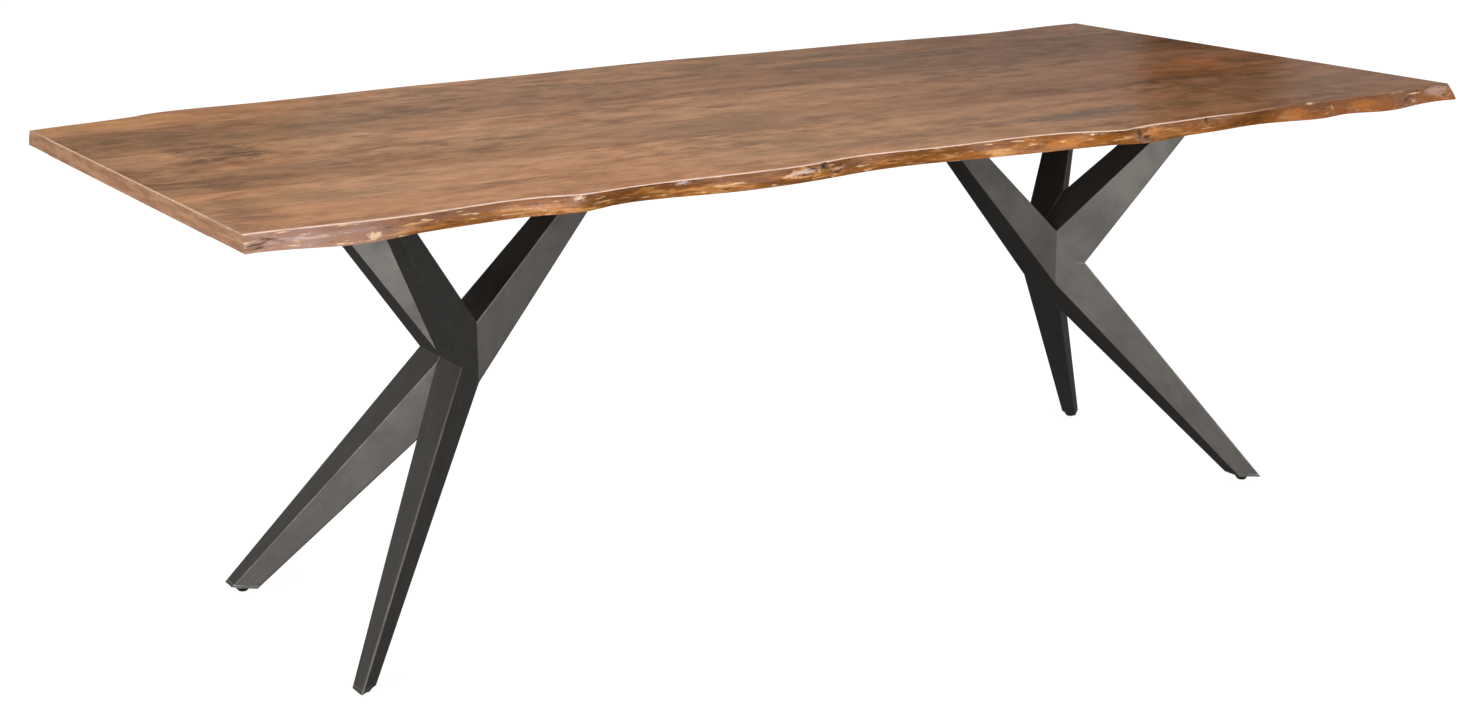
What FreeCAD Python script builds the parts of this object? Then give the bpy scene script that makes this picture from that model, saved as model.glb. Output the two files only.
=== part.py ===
import FreeCAD, Part
import os
import Sketcher
from FreeCAD import Placement, Rotation, Vector

# Dining table: a live-edge top of six edge-glued boards on two welded steel pedestals.
# +X runs along the table, +Z is up, front is the -Y long side, and the origin is on the floor
# under the centre of the top. Millimetres.

# Driving dimensions: sheet alias, value, meaning.
SIZES = (
    ("table_height", 762, "floor to the top face of the boards"),
    ("table_length", 2244, "end to end of every board"),
    ("top_thickness", 26, "thickness of the boards"),
    ("end_chamfer", 1.5, "eased arris along the sawn ends"),
    ("seam_front", -353, "Y of the glue line behind the front live-edge board"),
    ("seam_front_inner", -208, "Y of the next glue line"),
    ("seam_middle", -60, "Y of the glue line near the middle"),
    ("seam_rear_inner", 132, "Y of the next glue line"),
    ("seam_rear", 352, "Y of the glue line before the rear live-edge board"),
    ("hub_reach", 594, "X of each pedestal's hub ridge from the middle"),
    ("pedestal_y", -23, "Y of the pedestals' centre plane: the top's two edges aren't alike"),
    ("plan_angle", 39, "front and rear members' angle to the X axis, seen from above"),
    ("hub_width", 90, "width of every member along Y at the hub"),
    ("outer_taper", 0.17, "width lost per mm of X by the front and rear members"),
    ("inner_taper", 0.151, "width lost per mm of X by the inner arm"),
    ("hub_top", 480, "top of the hub ridge"),
    ("hub_bottom", 379, "bottom of the hub ridge"),
    ("notch_reach", 44.5, "outer notch between arm and leg, from the hub ridge"),
    ("notch_height", 420, "height of that notch"),
    ("arm_top_near", 199, "upper edge of the outer arms at their top, from the hub ridge"),
    ("arm_top_far", 226, "lower edge of the outer arms at their top"),
    ("inner_top_near", 255, "upper edge of the inner arm at its top"),
    ("inner_top_far", 299, "lower edge of the inner arm at its top"),
    ("foot_near", 289, "inner edge of the legs at the foot, from the hub ridge"),
    ("foot_far", 323.5, "outer edge of the legs at the foot"),
    ("foot_height", 9, "floor to the sawn end of the legs"),
    ("wedge_reach", 345, "plan length of the wedges that the members are cut to, past the feet"),
    ("blank_width", 1000, "width of the blank that a member is cut from"),
    ("wall", 3, "steel wall of the members"),
    ("edge_radius", 2, "rounding of the members' long edges"),
    ("foot_plate_thickness", 4, "cap welded on the foot of a leg"),
    ("plate_thickness", 6, "mounting plate welded on an arm"),
    ("plate_width", 144, "mounting plate across its arm"),
    ("plate_depth", 62, "mounting plate along its arm"),
    ("plate_corner", 10, "mounting plate's clipped corners"),
    ("bolt_across", 54, "bolt from the plate's centre, across the arm"),
    ("bolt_along", 17, "bolt from the plate's centre, along the arm"),
    ("bolt_hole", 7, "diameter of the holes in the plates"),
    ("bolt_diameter", 6, "mounting bolt's shank"),
    ("bolt_length", 20, "mounting bolt under its head"),
    ("bolt_head", 10, "mounting bolt's hexagon head across its flats"),
    ("bolt_head_height", 4, "height of that head"),
    ("washer_diameter", 14, "outside of the washers"),
    ("washer_bore", 6.4, "hole of the washers"),
    ("washer_thickness", 1.2, "thickness of the washers"),
    ("insert_diameter", 10, "outside of the threaded inserts"),
    ("insert_length", 15, "depth of the threaded inserts in the boards"),
    ("glide_reach", 304, "glide's axis from the hub ridge"),
    ("glide_gap", 0.5, "glide's pad under the foot, screwed right in"),
    ("stem_diameter", 8, "glide's threaded stem"),
    ("stem_top", 25, "height of the stem's end, screwed right in"),
    ("stem_bottom", 3, "height of the stem's moulded end"),
    ("stem_chamfer", 1, "lead-in at the stem's end"),
    ("pad_diameter", 24, "glide's pad at its rim"),
    ("pad_face", 15, "glide's pad where it meets the floor"),
    ("pad_rim", 2.5, "height of the straight rim"),
    ("nut_flats", 13, "weld nut across its flats"),
    ("nut_height", 6.5, "height of the weld nut"),
    ("running_gap", 0.1, "radial room between a screw and its hole"),
)

# The live edges, one station for each swell or hollow: X, Y of the top arris, and how far the
# lower edge stands proud of that arris. The first and last stations are past the sawn ends.
FRONT_EDGE = (
    (-1150, -478, 12), (-1040, -481, 14), (-970, -487, 24), (-900, -490, 6), (-830, -485, 2),
    (-680, -483, 4), (-630, -495, 0), (-585, -492, -10), (-400, -491, 3), (-225, -488, 2),
    (-150, -475, 4), (-60, -482, -7), (70, -489, 2), (265, -509, 3), (332, -530, -8),
    (375, -520, 15), (440, -518, 8), (560, -515, 0), (620, -520, -12), (700, -507, 8),
    (780, -507, 21), (850, -506, 12), (915, -508, 27), (1000, -510, 14), (1150, -513, 18),
)
REAR_EDGE = (
    (-1150, 453, 5), (-1045, 469, 8), (-950, 480, 10), (-905, 494, 4), (-760, 500, 6),
    (-450, 518, 3), (-215, 520, 9), (140, 532, 1), (315, 519, 6), (600, 510, 5),
    (785, 494, 10), (885, 490, 14), (1005, 502, 6), (1150, 503, 8),
)
# How far the live edges swell out at half thickness.
EDGE_BULGE = 2.5
# Levels of the sections that shape a live edge, as shares of the thickness: just under the board,
# halfway up it and just above it.
EDGE_LEVELS = (-0.04, 0.5, 1.04)
# Outer side of the waste that is cut off a live edge, and how far the uncut board stays inside it.
WASTE_SIDE = 620
WASTE_SPARE = 20

# Small rounds are made with flats: hidden fasteners and their holes, stems, and the glides' pads.
FASTENER_FLATS = 6
WASHER_FLATS = 8
STEM_FLATS = 16
PAD_FLATS = 24
HEXAGON = 6

LEFT, RIGHT = -1, 1
FRONT, REAR = -1, 1
SIDE_NAMES = {LEFT: "left", RIGHT: "right"}
ROW_NAMES = {FRONT: "front", REAR: "rear"}
SIDES = (LEFT, RIGHT)
ROWS = (FRONT, REAR)

# Sizes that several pieces share, worked out from the sheet.
UNDERSIDE = "(sizes.table_height - sizes.top_thickness)"
ARM_TOP = "(sizes.table_height - sizes.top_thickness - sizes.plate_thickness)"
HALF_LENGTH = "(sizes.table_length / 2)"
FOOT_TOP = "(sizes.foot_height + sizes.foot_plate_thickness)"
HALF_HUB = "(sizes.hub_width / 2)"
LEAN = "tan(sizes.plan_angle)"
OUTER_FACE = "(tan(sizes.plan_angle) - sizes.outer_taper / 2)"
CROTCH_FACE = "(tan(sizes.plan_angle) + sizes.outer_taper / 2)"
OUTER_PLATE_REACH = "((sizes.arm_top_near + sizes.arm_top_far) / 2)"
INNER_PLATE_REACH = "((sizes.inner_top_near + sizes.inner_top_far) / 2)"
STEM_HOLE = "(sizes.stem_diameter + 2 * sizes.running_gap)"
PAD_TOP = "(sizes.foot_height - sizes.glide_gap)"
PROBE_TOLERANCE = 1e-4

doc = FreeCAD.newDocument("dining_table")
sheet = doc.addObject("Spreadsheet::Sheet", "sizes")
for row, (alias, size, meaning) in enumerate(SIZES, start=1):
    sheet.set(f"A{row}", str(size))
    sheet.setAlias(f"A{row}", alias)
    sheet.set(f"B{row}", meaning)
doc.recompute()

nodes = []


def value(expression):
    """The number that an expression on the sheet stands for."""
    return float(sheet.evalExpression(str(expression)))


def new_body(label):
    """A body that becomes a node of its own."""
    body = doc.addObject("PartDesign::Body", label)
    body.Label = label
    nodes.append(body)
    return body


def put(piece, x="0", y="0", z="0", turn=None):
    """Places a piece by expressions, turned about Z by an angle in degrees."""
    angle = value(turn) if turn else 0
    piece.Placement = Placement(Vector(value(x), value(y), value(z)), Rotation(Vector(0, 0, 1), angle))
    for axis, expression in zip("xyz", (x, y, z)):
        piece.setExpression(f"Placement.Base.{axis}", expression)
    if turn:
        piece.setExpression("Placement.Rotation.Angle", turn)


def new_sketch(body, name, role, lift="0"):
    """A sketch on one of the body's origin planes, lifted along its normal."""
    plane = next(f for f in body.Origin.OriginFeatures if f.Role == role)
    sketch = body.newObject("Sketcher::SketchObject", name)
    sketch.AttachmentSupport = [(plane, "")]
    sketch.MapMode = "FlatFace"
    sketch.AttachmentOffset = Placement(Vector(0, 0, value(lift)), Rotation())
    sketch.setExpression("AttachmentOffset.Base.z", str(lift))
    return sketch


def pin_point(sketch, element, corner, x, y):
    """Ties a sketch point to the origin by two dimensions."""
    for kind, expression in (("DistanceX", x), ("DistanceY", y)):
        rule = Sketcher.Constraint(kind, -1, 1, element, corner, value(expression))
        number = sketch.addConstraint(rule)
        sketch.setExpression(f"Constraints[{number}]", str(expression))


def add_polygon(sketch, points):
    """A closed outline with every corner dimensioned by expressions."""
    first = sketch.GeometryCount
    corners = [Vector(value(x), value(y), 0) for x, y in points]
    for start, end in zip(corners, corners[1:] + corners[:1]):
        sketch.addGeometry(Part.LineSegment(start, end), False)
    for index, (x, y) in enumerate(points):
        following = first + (index + 1) % len(points)
        sketch.addConstraint(Sketcher.Constraint("Coincident", first + index, 2, following, 1))
        pin_point(sketch, first + index, 1, x, y)


def add_flats(sketch, x, y, diameter, flats):
    """A regular polygon with its corners on a circle."""
    corners = []
    for index in range(flats):
        turn = 360 * index / flats
        corners.append((f"{x} + {diameter} / 2 * cos({turn})", f"{y} + {diameter} / 2 * sin({turn})"))
    add_polygon(sketch, corners)


def over_corners(across_flats, flats):
    """Diameter over the corners of a regular polygon of a size across its flats."""
    return f"({across_flats} / cos({180 / flats}))"


def add_pad(body, sketch, length, symmetric=False):
    """Extrudes a sketch along its plane's normal, or both ways."""
    pad = body.newObject("PartDesign::Pad", f"{sketch.Name}_pad")
    pad.Profile = sketch
    pad.SideType = "Symmetric" if symmetric else "One side"
    pad.Length = value(length)
    pad.setExpression("Length", str(length))
    doc.recompute()
    return pad


def add_pocket(body, sketch, depth=None):
    """Cuts a sketch upwards to a depth, or right through both ways, and tests that it cut."""
    before = body.Shape.Volume
    pocket = body.newObject("PartDesign::Pocket", f"{sketch.Name}_pocket")
    pocket.Profile = sketch
    if depth is None:
        pocket.SideType = "Symmetric"
        pocket.Type = "ThroughAll"
    else:
        pocket.Reversed = True
        pocket.Length = value(depth)
        pocket.setExpression("Length", str(depth))
    doc.recompute()
    if body.Shape.Volume >= before:
        raise RuntimeError(f"{sketch.Name} cuts nothing from {body.Label}")
    return pocket


def edge_middle(edge):
    """The point halfway along an edge."""
    first, last = edge.ParameterRange
    return edge.valueAt((first + last) / 2)


def edge_names(shape, middles):
    """Names of the edges whose middles are given."""
    return [
        f"Edge{index}"
        for index, edge in enumerate(shape.Edges, start=1)
        if any(edge_middle(edge).distanceToPoint(middle) < PROBE_TOLERANCE for middle in middles)
    ]


def slanting_middles(shape):
    """Middles of the edges that are neither level nor upright: a member's long edges."""
    middles = []
    for edge in shape.Edges:
        run = edge.Vertexes[1].Point - edge.Vertexes[0].Point
        level = Vector(run.x, run.y, 0).Length
        if abs(run.z) > PROBE_TOLERANCE and level > PROBE_TOLERANCE:
            middles.append(edge_middle(edge))
    return middles


def round_edges(body, middles, radius):
    """Rounds the edges at the given middles."""
    base = body.Tip
    rounding = body.newObject("PartDesign::Fillet", f"{body.Name}_rounding")
    rounding.Base = (base, edge_names(base.Shape, middles))
    rounding.Radius = value(radius)
    rounding.setExpression("Radius", radius)
    doc.recompute()


def add_chamfer(body, name, middles, upright, level):
    """Cuts the edges at the given middles back, by a size on the upright face and the level one."""
    base = body.Tip
    chamfer = body.newObject("PartDesign::Chamfer", f"{body.Name}_{name}")
    chamfer.Base = (base, edge_names(base.Shape, middles))
    chamfer.ChamferType = "Two distances"
    for field, expression in (("Size", upright), ("Size2", level)):
        setattr(chamfer, field, value(expression))
        chamfer.setExpression(field, expression)
    doc.recompute()


def level_middles(shape, height):
    """Middles of the edges that lie at a height."""
    middles = map(edge_middle, shape.Edges)
    return [middle for middle in middles if abs(middle.z - value(height)) < PROBE_TOLERANCE]


def hollow_out(body, open_ends):
    """Leaves a wall inside every face but the open ends, which are found by their normals."""
    base = body.Tip
    names = [
        f"Face{index}"
        for index, face in enumerate(base.Shape.Faces, start=1)
        if any(face.normalAt(0, 0).getAngle(end) < PROBE_TOLERANCE for end in open_ends)
    ]
    shell = body.newObject("PartDesign::Thickness", f"{body.Name}_wall")
    shell.Base = (base, names)
    shell.Reversed = True
    shell.Value = value("sizes.wall")
    shell.setExpression("Value", "sizes.wall")
    doc.recompute()


# Members of a pedestal: a side profile in XZ, cut to a wedge in plan, about the hub ridge.

def leg_inside(height):
    """How far a leg's inner edge stands from the hub ridge at a height."""
    drop = f"(sizes.hub_bottom - {height}) / (sizes.hub_bottom - sizes.foot_height)"
    return f"(sizes.foot_near * {drop})"


def leg_outside(height):
    """How far a leg's outer edge stands from the hub ridge at a height."""
    drop = f"(sizes.notch_height - {height}) / (sizes.notch_height - sizes.foot_height)"
    return f"(sizes.notch_reach + (sizes.foot_far - sizes.notch_reach) * {drop})"


LEG_PROFILE = [
    (leg_inside(FOOT_TOP), FOOT_TOP), (leg_outside(FOOT_TOP), FOOT_TOP),
    ("sizes.notch_reach", "sizes.notch_height"), ("0", "sizes.notch_height"), ("0", "sizes.hub_bottom"),
]
FOOT_PROFILE = [
    (leg_inside("sizes.foot_height"), "sizes.foot_height"),
    (leg_outside("sizes.foot_height"), "sizes.foot_height"),
    (leg_outside(FOOT_TOP), FOOT_TOP), (leg_inside(FOOT_TOP), FOOT_TOP),
]


OUTER_ARM_PROFILE = [
    ("0", "sizes.notch_height"), ("sizes.notch_reach", "sizes.notch_height"),
    ("sizes.arm_top_far", ARM_TOP), ("sizes.arm_top_near", ARM_TOP), ("0", "sizes.hub_top"),
]
INNER_ARM_PROFILE = [
    ("0", "sizes.hub_bottom"), ("-sizes.inner_top_far", ARM_TOP),
    ("-sizes.inner_top_near", ARM_TOP), ("0", "sizes.hub_top"),
]


def outer_wedge(row):
    """Plan of a front or rear member: one side bears on the other row's at the centre plane."""
    tip_outer = f"{row} * ({HALF_HUB} + {OUTER_FACE} * sizes.wedge_reach)"
    tip_crotch = f"{row} * ({CROTCH_FACE} * sizes.wedge_reach - {HALF_HUB})"
    return [
        ("0", "0"), ("0", f"{row} * {HALF_HUB}"), ("sizes.wedge_reach", tip_outer),
        ("sizes.wedge_reach", tip_crotch), (f"{HALF_HUB} / {CROTCH_FACE}", "0"),
    ]


def inner_wedge():
    """Plan of an inner arm, alike on both sides of the centre plane."""
    tip = f"({HALF_HUB} - sizes.inner_taper / 2 * sizes.wedge_reach)"
    return [
        ("0", HALF_HUB), ("0", f"-{HALF_HUB}"),
        ("-sizes.wedge_reach", f"-{tip}"), ("-sizes.wedge_reach", tip),
    ]


def mirrored(points, side):
    """The outline for the right pedestal, or its mirror image for the left one."""
    return [(f"{side} * ({x})", y) for x, y in points]


def member_blank(label, side, profile, wedge):
    """A solid member, in place at its pedestal."""
    body = new_body(label)
    put(body, f"{side} * sizes.hub_reach", "sizes.pedestal_y")
    outline = new_sketch(body, f"{label}_side", "XZ_Plane")
    add_polygon(outline, mirrored(profile, side))
    add_pad(body, outline, "sizes.blank_width", symmetric=True)
    plan = new_sketch(body, f"{label}_plan", "XY_Plane")
    low, high = "-sizes.blank_width", "sizes.blank_width"
    add_polygon(plan, [(low, low), (high, low), (high, high), (low, high)])
    add_polygon(plan, mirrored(wedge, side))
    add_pocket(body, plan)
    return body


def tube_member(label, side, profile, wedge, open_ends):
    """A hollow member with rounded long edges, open where it is welded to its neighbours."""
    body = member_blank(label, side, profile, wedge)
    middles = slanting_middles(body.Tip.Shape)
    hollow_out(body, open_ends)
    round_edges(body, middles, "sizes.edge_radius")


def foot_plate(label, side, row):
    """The cap on a leg, ground flush with its walls and drilled for the glide's stem."""
    body = member_blank(label, side, FOOT_PROFILE, outer_wedge(row))
    round_edges(body, slanting_middles(body.Tip.Shape), "sizes.edge_radius")
    hole = new_sketch(body, f"{label}_hole", "XY_Plane")
    x, y = f"{side} * sizes.glide_reach", f"{row} * {LEAN} * sizes.glide_reach"
    add_flats(hole, x, y, STEM_HOLE, STEM_FLATS)
    add_pocket(body, hole)


def pedestal_members(side):
    """The five tubes and two foot plates of one pedestal."""
    name = SIDE_NAMES[side]
    towards_hub, away = Vector(-side, 0, 0), Vector(side, 0, 0)
    up, down = Vector(0, 0, 1), Vector(0, 0, -1)
    tube_member(f"{name}_inner_arm", side, INNER_ARM_PROFILE, inner_wedge(), (away, up))
    for row in ROWS:
        end = f"{name}_{ROW_NAMES[row]}"
        mitres = (towards_hub, Vector(0, -row, 0), up, down)
        tube_member(f"{end}_arm", side, OUTER_ARM_PROFILE, outer_wedge(row), mitres)
        tube_member(f"{end}_leg", side, LEG_PROFILE, outer_wedge(row), mitres)
        foot_plate(f"{end}_foot_plate", side, row)


# Mounting plates and what fastens them to the boards.

def plate_sites(side):
    """Name, X, Y and turn of each mounting plate on one pedestal."""
    sites = [("inner", f"{side} * (sizes.hub_reach - {INNER_PLATE_REACH})", "sizes.pedestal_y", "0")]
    for row in ROWS:
        x = f"{side} * (sizes.hub_reach + {OUTER_PLATE_REACH})"
        y = f"sizes.pedestal_y + {row} * {LEAN} * {OUTER_PLATE_REACH}"
        sites.append((ROW_NAMES[row], x, y, f"{side * row} * sizes.plan_angle"))
    return sites


BOLT_OFFSETS = [
    (f"{along} * sizes.bolt_along", f"{across} * sizes.bolt_across")
    for along in (-1, 1)
    for across in (-1, 1)
]


def mounting_plate(label, x, y, turn):
    """A flat plate with clipped corners and four bolt holes beside the arm."""
    body = new_body(label)
    put(body, x, y, ARM_TOP, turn)
    outline = new_sketch(body, f"{label}_outline", "XY_Plane")
    depth, width = "sizes.plate_depth / 2", "sizes.plate_width / 2"
    short_depth, short_width = f"({depth} - sizes.plate_corner)", f"({width} - sizes.plate_corner)"
    add_polygon(outline, [
        (f"-{short_depth}", f"-{width}"), (short_depth, f"-{width}"),
        (depth, f"-{short_width}"), (depth, short_width),
        (short_depth, width), (f"-{short_depth}", width),
        (f"-{depth}", short_width), (f"-{depth}", f"-{short_width}"),
    ])
    for along, across in BOLT_OFFSETS:
        add_flats(outline, along, across, "sizes.bolt_hole", FASTENER_FLATS)
    add_pad(body, outline, "sizes.plate_thickness")


def bolt_sites(side):
    """X and Y of every mounting bolt on one pedestal."""
    sites = []
    for _, x, y, turn in plate_sites(side):
        for along, across in BOLT_OFFSETS:
            sites.append((
                f"{x} + {along} * cos({turn}) - {across} * sin({turn})",
                f"{y} + {along} * sin({turn}) + {across} * cos({turn})",
            ))
    return sites


def fastener_group(label, pattern, sites, height):
    """One node of like fasteners, each a separate solid linked to the same pattern piece."""
    links = []
    for number, (x, y) in enumerate(sites, start=1):
        link = doc.addObject("App::Link", f"{label}_{number}")
        link.LinkedObject = pattern
        put(link, x, y, height)
        links.append(link)
    group = doc.addObject("Part::Compound", label)
    group.Label = label
    group.Links = links
    nodes.append(group)
    doc.recompute()


def pattern_body(label):
    """A piece that is only linked to, and isn't a node itself."""
    body = doc.addObject("PartDesign::Body", label)
    body.Label = label
    return body


def add_prism(body, name, diameter, flats, low, height):
    """A straight prism about the body's Z axis."""
    sketch = new_sketch(body, f"{body.Name}_{name}", "XY_Plane", low)
    add_flats(sketch, "0", "0", diameter, flats)
    add_pad(body, sketch, height)


def bolt_pattern():
    """A hexagon-head bolt that points up, its head's bearing face at the origin."""
    body = pattern_body("mounting_bolt")
    shank = "(sizes.bolt_diameter - 2 * sizes.running_gap)"
    add_prism(body, "shank", shank, FASTENER_FLATS, "0", "sizes.bolt_length")
    head = over_corners("sizes.bolt_head", HEXAGON)
    add_prism(body, "head", head, HEXAGON, "-sizes.bolt_head_height", "sizes.bolt_head_height")
    return body


def ring_pattern(label, outside, outside_flats, inside, inside_flats, height):
    """A ring that stands on the origin: a washer, an insert without its thread, or a nut."""
    body = pattern_body(label)
    outline = new_sketch(body, f"{label}_outline", "XY_Plane")
    add_flats(outline, "0", "0", outside, outside_flats)
    add_flats(outline, "0", "0", inside, inside_flats)
    add_pad(body, outline, height)
    return body


# Boards of the top, modelled on their underside.

def insert_sites(low, high):
    """The bolt sites whose Y lies between a board's two sides."""
    everywhere = [site for side in SIDES for site in bolt_sites(side)]
    return [(x, y) for x, y in everywhere if value(low) < value(y) < value(high)]


def bore_for_inserts(body, low, high):
    """Blind holes for the threaded inserts, from the underside."""
    sites = insert_sites(low, high)
    if not sites:
        return
    holes = new_sketch(body, f"{body.Name}_bores", "XY_Plane")
    for x, y in sites:
        add_flats(holes, x, y, "sizes.insert_diameter", FASTENER_FLATS)
    add_pocket(body, holes, "sizes.insert_length")


def ease_ends(body):
    """Chamfers the top arris along both sawn ends."""
    top, half = value("sizes.top_thickness"), value(HALF_LENGTH)
    middles = [
        middle
        for middle in map(edge_middle, body.Tip.Shape.Edges)
        if abs(middle.z - top) < PROBE_TOLERANCE and abs(abs(middle.x) - half) < PROBE_TOLERANCE
    ]
    add_chamfer(body, "ends", middles, "sizes.end_chamfer", "sizes.end_chamfer")


def board_blank(label, low, high):
    """A board with four straight sides and eased ends."""
    body = new_body(label)
    put(body, z=UNDERSIDE)
    outline = new_sketch(body, f"{label}_outline", "XY_Plane")
    left, right = f"-{HALF_LENGTH}", HALF_LENGTH
    add_polygon(outline, [(left, low), (right, low), (right, high), (left, high)])
    add_pad(body, outline, "sizes.top_thickness")
    ease_ends(body)
    return body


def sawn_board(label, low, high):
    """A board between two glue lines, bored for the inserts that fall in it."""
    body = board_blank(label, low, high)
    bore_for_inserts(body, low, high)


def edge_line(stations, row, level):
    """The live edge at a level, from 0 on the underside to 1 on top, as points."""
    bulge = 4 * level * (1 - level) * EDGE_BULGE
    return [Vector(x, y + row * ((1 - level) * proud + bulge), 0) for x, y, proud in stations]


def waste_section(body, name, stations, row, level):
    """What is cut off outside the live edge at a level: the edge and three straight sides."""
    sketch = new_sketch(body, name, "XY_Plane", f"{level} * sizes.top_thickness")
    line = edge_line(stations, row, level)
    curve = Part.BSplineCurve()
    curve.interpolate(line)
    sketch.addGeometry(curve, False)
    left, right = Vector(line[0].x, row * WASTE_SIDE, 0), Vector(line[-1].x, row * WASTE_SIDE, 0)
    for first, last in ((line[-1], right), (right, left), (left, line[0])):
        sketch.addGeometry(Part.LineSegment(first, last), False)
    return sketch


def live_edge_board(label, stations, row, seam):
    """A board sawn at its glue line and ends, with the waste lofted off its live edge."""
    wide = str(row * (WASTE_SIDE - WASTE_SPARE))
    low, high = (wide, seam) if row == FRONT else (seam, wide)
    body = board_blank(label, low, high)
    sections = [
        waste_section(body, f"{label}_level_{number}", stations, row, level)
        for number, level in enumerate(EDGE_LEVELS)
    ]
    before = body.Shape.Volume
    waste = body.newObject("PartDesign::SubtractiveLoft", f"{label}_waste")
    waste.Profile = sections[0]
    waste.Sections = sections[1:]
    doc.recompute()
    if body.Shape.Volume >= before:
        raise RuntimeError(f"the live edge cuts nothing from {label}")
    bore_for_inserts(body, low, high)


# Levelling glides.

def glide_site(side, row):
    """X and Y of the glide under one foot."""
    x = f"{side} * (sizes.hub_reach + sizes.glide_reach)"
    y = f"sizes.pedestal_y + {row} * {LEAN} * sizes.glide_reach"
    return x, y


def glide(side, row):
    """A threaded stem and the moulded pad that turns it, under one foot."""
    end = f"{SIDE_NAMES[side]}_{ROW_NAMES[row]}"
    stem = new_body(f"{end}_glide_stem")
    put(stem, *glide_site(side, row))
    length = "sizes.stem_top - sizes.stem_bottom"
    add_prism(stem, "shank", "sizes.stem_diameter", STEM_FLATS, "sizes.stem_bottom", length)
    tip = level_middles(stem.Tip.Shape, "sizes.stem_top")
    add_chamfer(stem, "lead_in", tip, "sizes.stem_chamfer", "sizes.stem_chamfer")
    pad = new_body(f"{end}_glide_pad")
    put(pad, *glide_site(side, row))
    add_prism(pad, "disc", "sizes.pad_diameter", PAD_FLATS, "0", PAD_TOP)
    flank_height = f"{PAD_TOP} - sizes.pad_rim"
    flank_width = f"(sizes.pad_diameter - sizes.pad_face) / 2 * cos({180 / PAD_FLATS})"
    add_chamfer(pad, "flank", level_middles(pad.Tip.Shape, "0"), flank_height, flank_width)
    recess_floor = "(sizes.stem_bottom - sizes.running_gap)"
    recess = new_sketch(pad, f"{pad.Name}_recess", "XY_Plane", recess_floor)
    add_flats(recess, "0", "0", over_corners(STEM_HOLE, STEM_FLATS), STEM_FLATS)
    add_pocket(pad, recess, f"{PAD_TOP} - {recess_floor}")


live_edge_board("front_live_edge_board", FRONT_EDGE, FRONT, "sizes.seam_front")
sawn_board("front_inner_board", "sizes.seam_front", "sizes.seam_front_inner")
sawn_board("front_middle_board", "sizes.seam_front_inner", "sizes.seam_middle")
sawn_board("rear_middle_board", "sizes.seam_middle", "sizes.seam_rear_inner")
sawn_board("rear_inner_board", "sizes.seam_rear_inner", "sizes.seam_rear")
live_edge_board("rear_live_edge_board", REAR_EDGE, REAR, "sizes.seam_rear")

bolt = bolt_pattern()
washer = ring_pattern(
    "bolt_washer", "sizes.washer_diameter", WASHER_FLATS,
    "sizes.washer_bore", FASTENER_FLATS, "sizes.washer_thickness",
)
insert = ring_pattern(
    "threaded_insert", "sizes.insert_diameter", FASTENER_FLATS,
    "sizes.bolt_diameter", FASTENER_FLATS, "sizes.insert_length",
)
nut = ring_pattern(
    "glide_nut", over_corners("sizes.nut_flats", HEXAGON), HEXAGON,
    STEM_HOLE, STEM_FLATS, "sizes.nut_height",
)
for side in SIDES:
    pedestal_members(side)
    end = SIDE_NAMES[side]
    for place, x, y, turn in plate_sites(side):
        mounting_plate(f"{end}_{place}_mounting_plate", x, y, turn)
    bolts = bolt_sites(side)
    fastener_group(f"{end}_mounting_bolts", bolt, bolts, f"{ARM_TOP} - sizes.washer_thickness")
    fastener_group(f"{end}_bolt_washers", washer, bolts, f"{ARM_TOP} - sizes.washer_thickness")
    fastener_group(f"{end}_threaded_inserts", insert, bolts, UNDERSIDE)
    fastener_group(f"{end}_glide_nuts", nut, [glide_site(side, row) for row in ROWS], FOOT_TOP)
    for row in ROWS:
        glide(side, row)

doc.recompute()
for piece in doc.Objects:
    if "Invalid" in piece.State or "Error" in piece.State:
        raise RuntimeError(f"{piece.Label} did not compute: {piece.State}")
for node in nodes:
    if node.Shape.isNull() or not node.Shape.isValid():
        raise RuntimeError(f"{node.Label} has no valid shape")

os.makedirs("parts", exist_ok=True)
for node in nodes:
    node.Shape.exportStep(f"parts/{node.Label}.step")
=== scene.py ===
"""A live-edge dining table on two dark steel pedestals, dressed on its fixed frame."""

import logging
import math
from collections.abc import Callable, Iterator, Sequence
from contextlib import contextmanager
from dataclasses import dataclass, field
from enum import Enum
from typing import ClassVar

import bmesh
import bpy
from mathutils import Matrix, Vector


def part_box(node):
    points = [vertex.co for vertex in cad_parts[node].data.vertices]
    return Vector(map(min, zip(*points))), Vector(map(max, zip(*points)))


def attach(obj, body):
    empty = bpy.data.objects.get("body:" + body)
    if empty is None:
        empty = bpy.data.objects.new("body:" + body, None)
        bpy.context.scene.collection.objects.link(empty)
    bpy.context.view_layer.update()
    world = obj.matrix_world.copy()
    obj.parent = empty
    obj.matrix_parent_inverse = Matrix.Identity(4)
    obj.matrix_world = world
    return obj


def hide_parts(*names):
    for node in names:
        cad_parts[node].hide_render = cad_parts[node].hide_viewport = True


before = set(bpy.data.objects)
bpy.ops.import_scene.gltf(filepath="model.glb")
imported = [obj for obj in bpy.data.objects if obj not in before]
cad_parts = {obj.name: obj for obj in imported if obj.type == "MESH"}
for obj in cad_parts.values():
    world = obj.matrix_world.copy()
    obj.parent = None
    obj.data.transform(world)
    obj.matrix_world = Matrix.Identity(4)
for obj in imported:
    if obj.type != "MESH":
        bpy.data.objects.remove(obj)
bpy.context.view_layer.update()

LOG = logging.getLogger("table")
MM = 0.001
X, Y, Z = range(3)
TABLE_BODY = "table"
TOUCHING = 0.001 * MM
IN_LINE = 0.01 * MM

Piece = bpy.types.Object
Edge = bmesh.types.BMEdge
Node = bpy.types.Node
Link = bpy.types.NodeSocket
Outputs = bpy.types.NodeOutputs
Input = Link | float | Sequence[float]
Inputs = dict[str | int, Input]
Place = tuple[float, float, float]
Colour = tuple[float, float, float, float]
Range = tuple[float, float]
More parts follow.
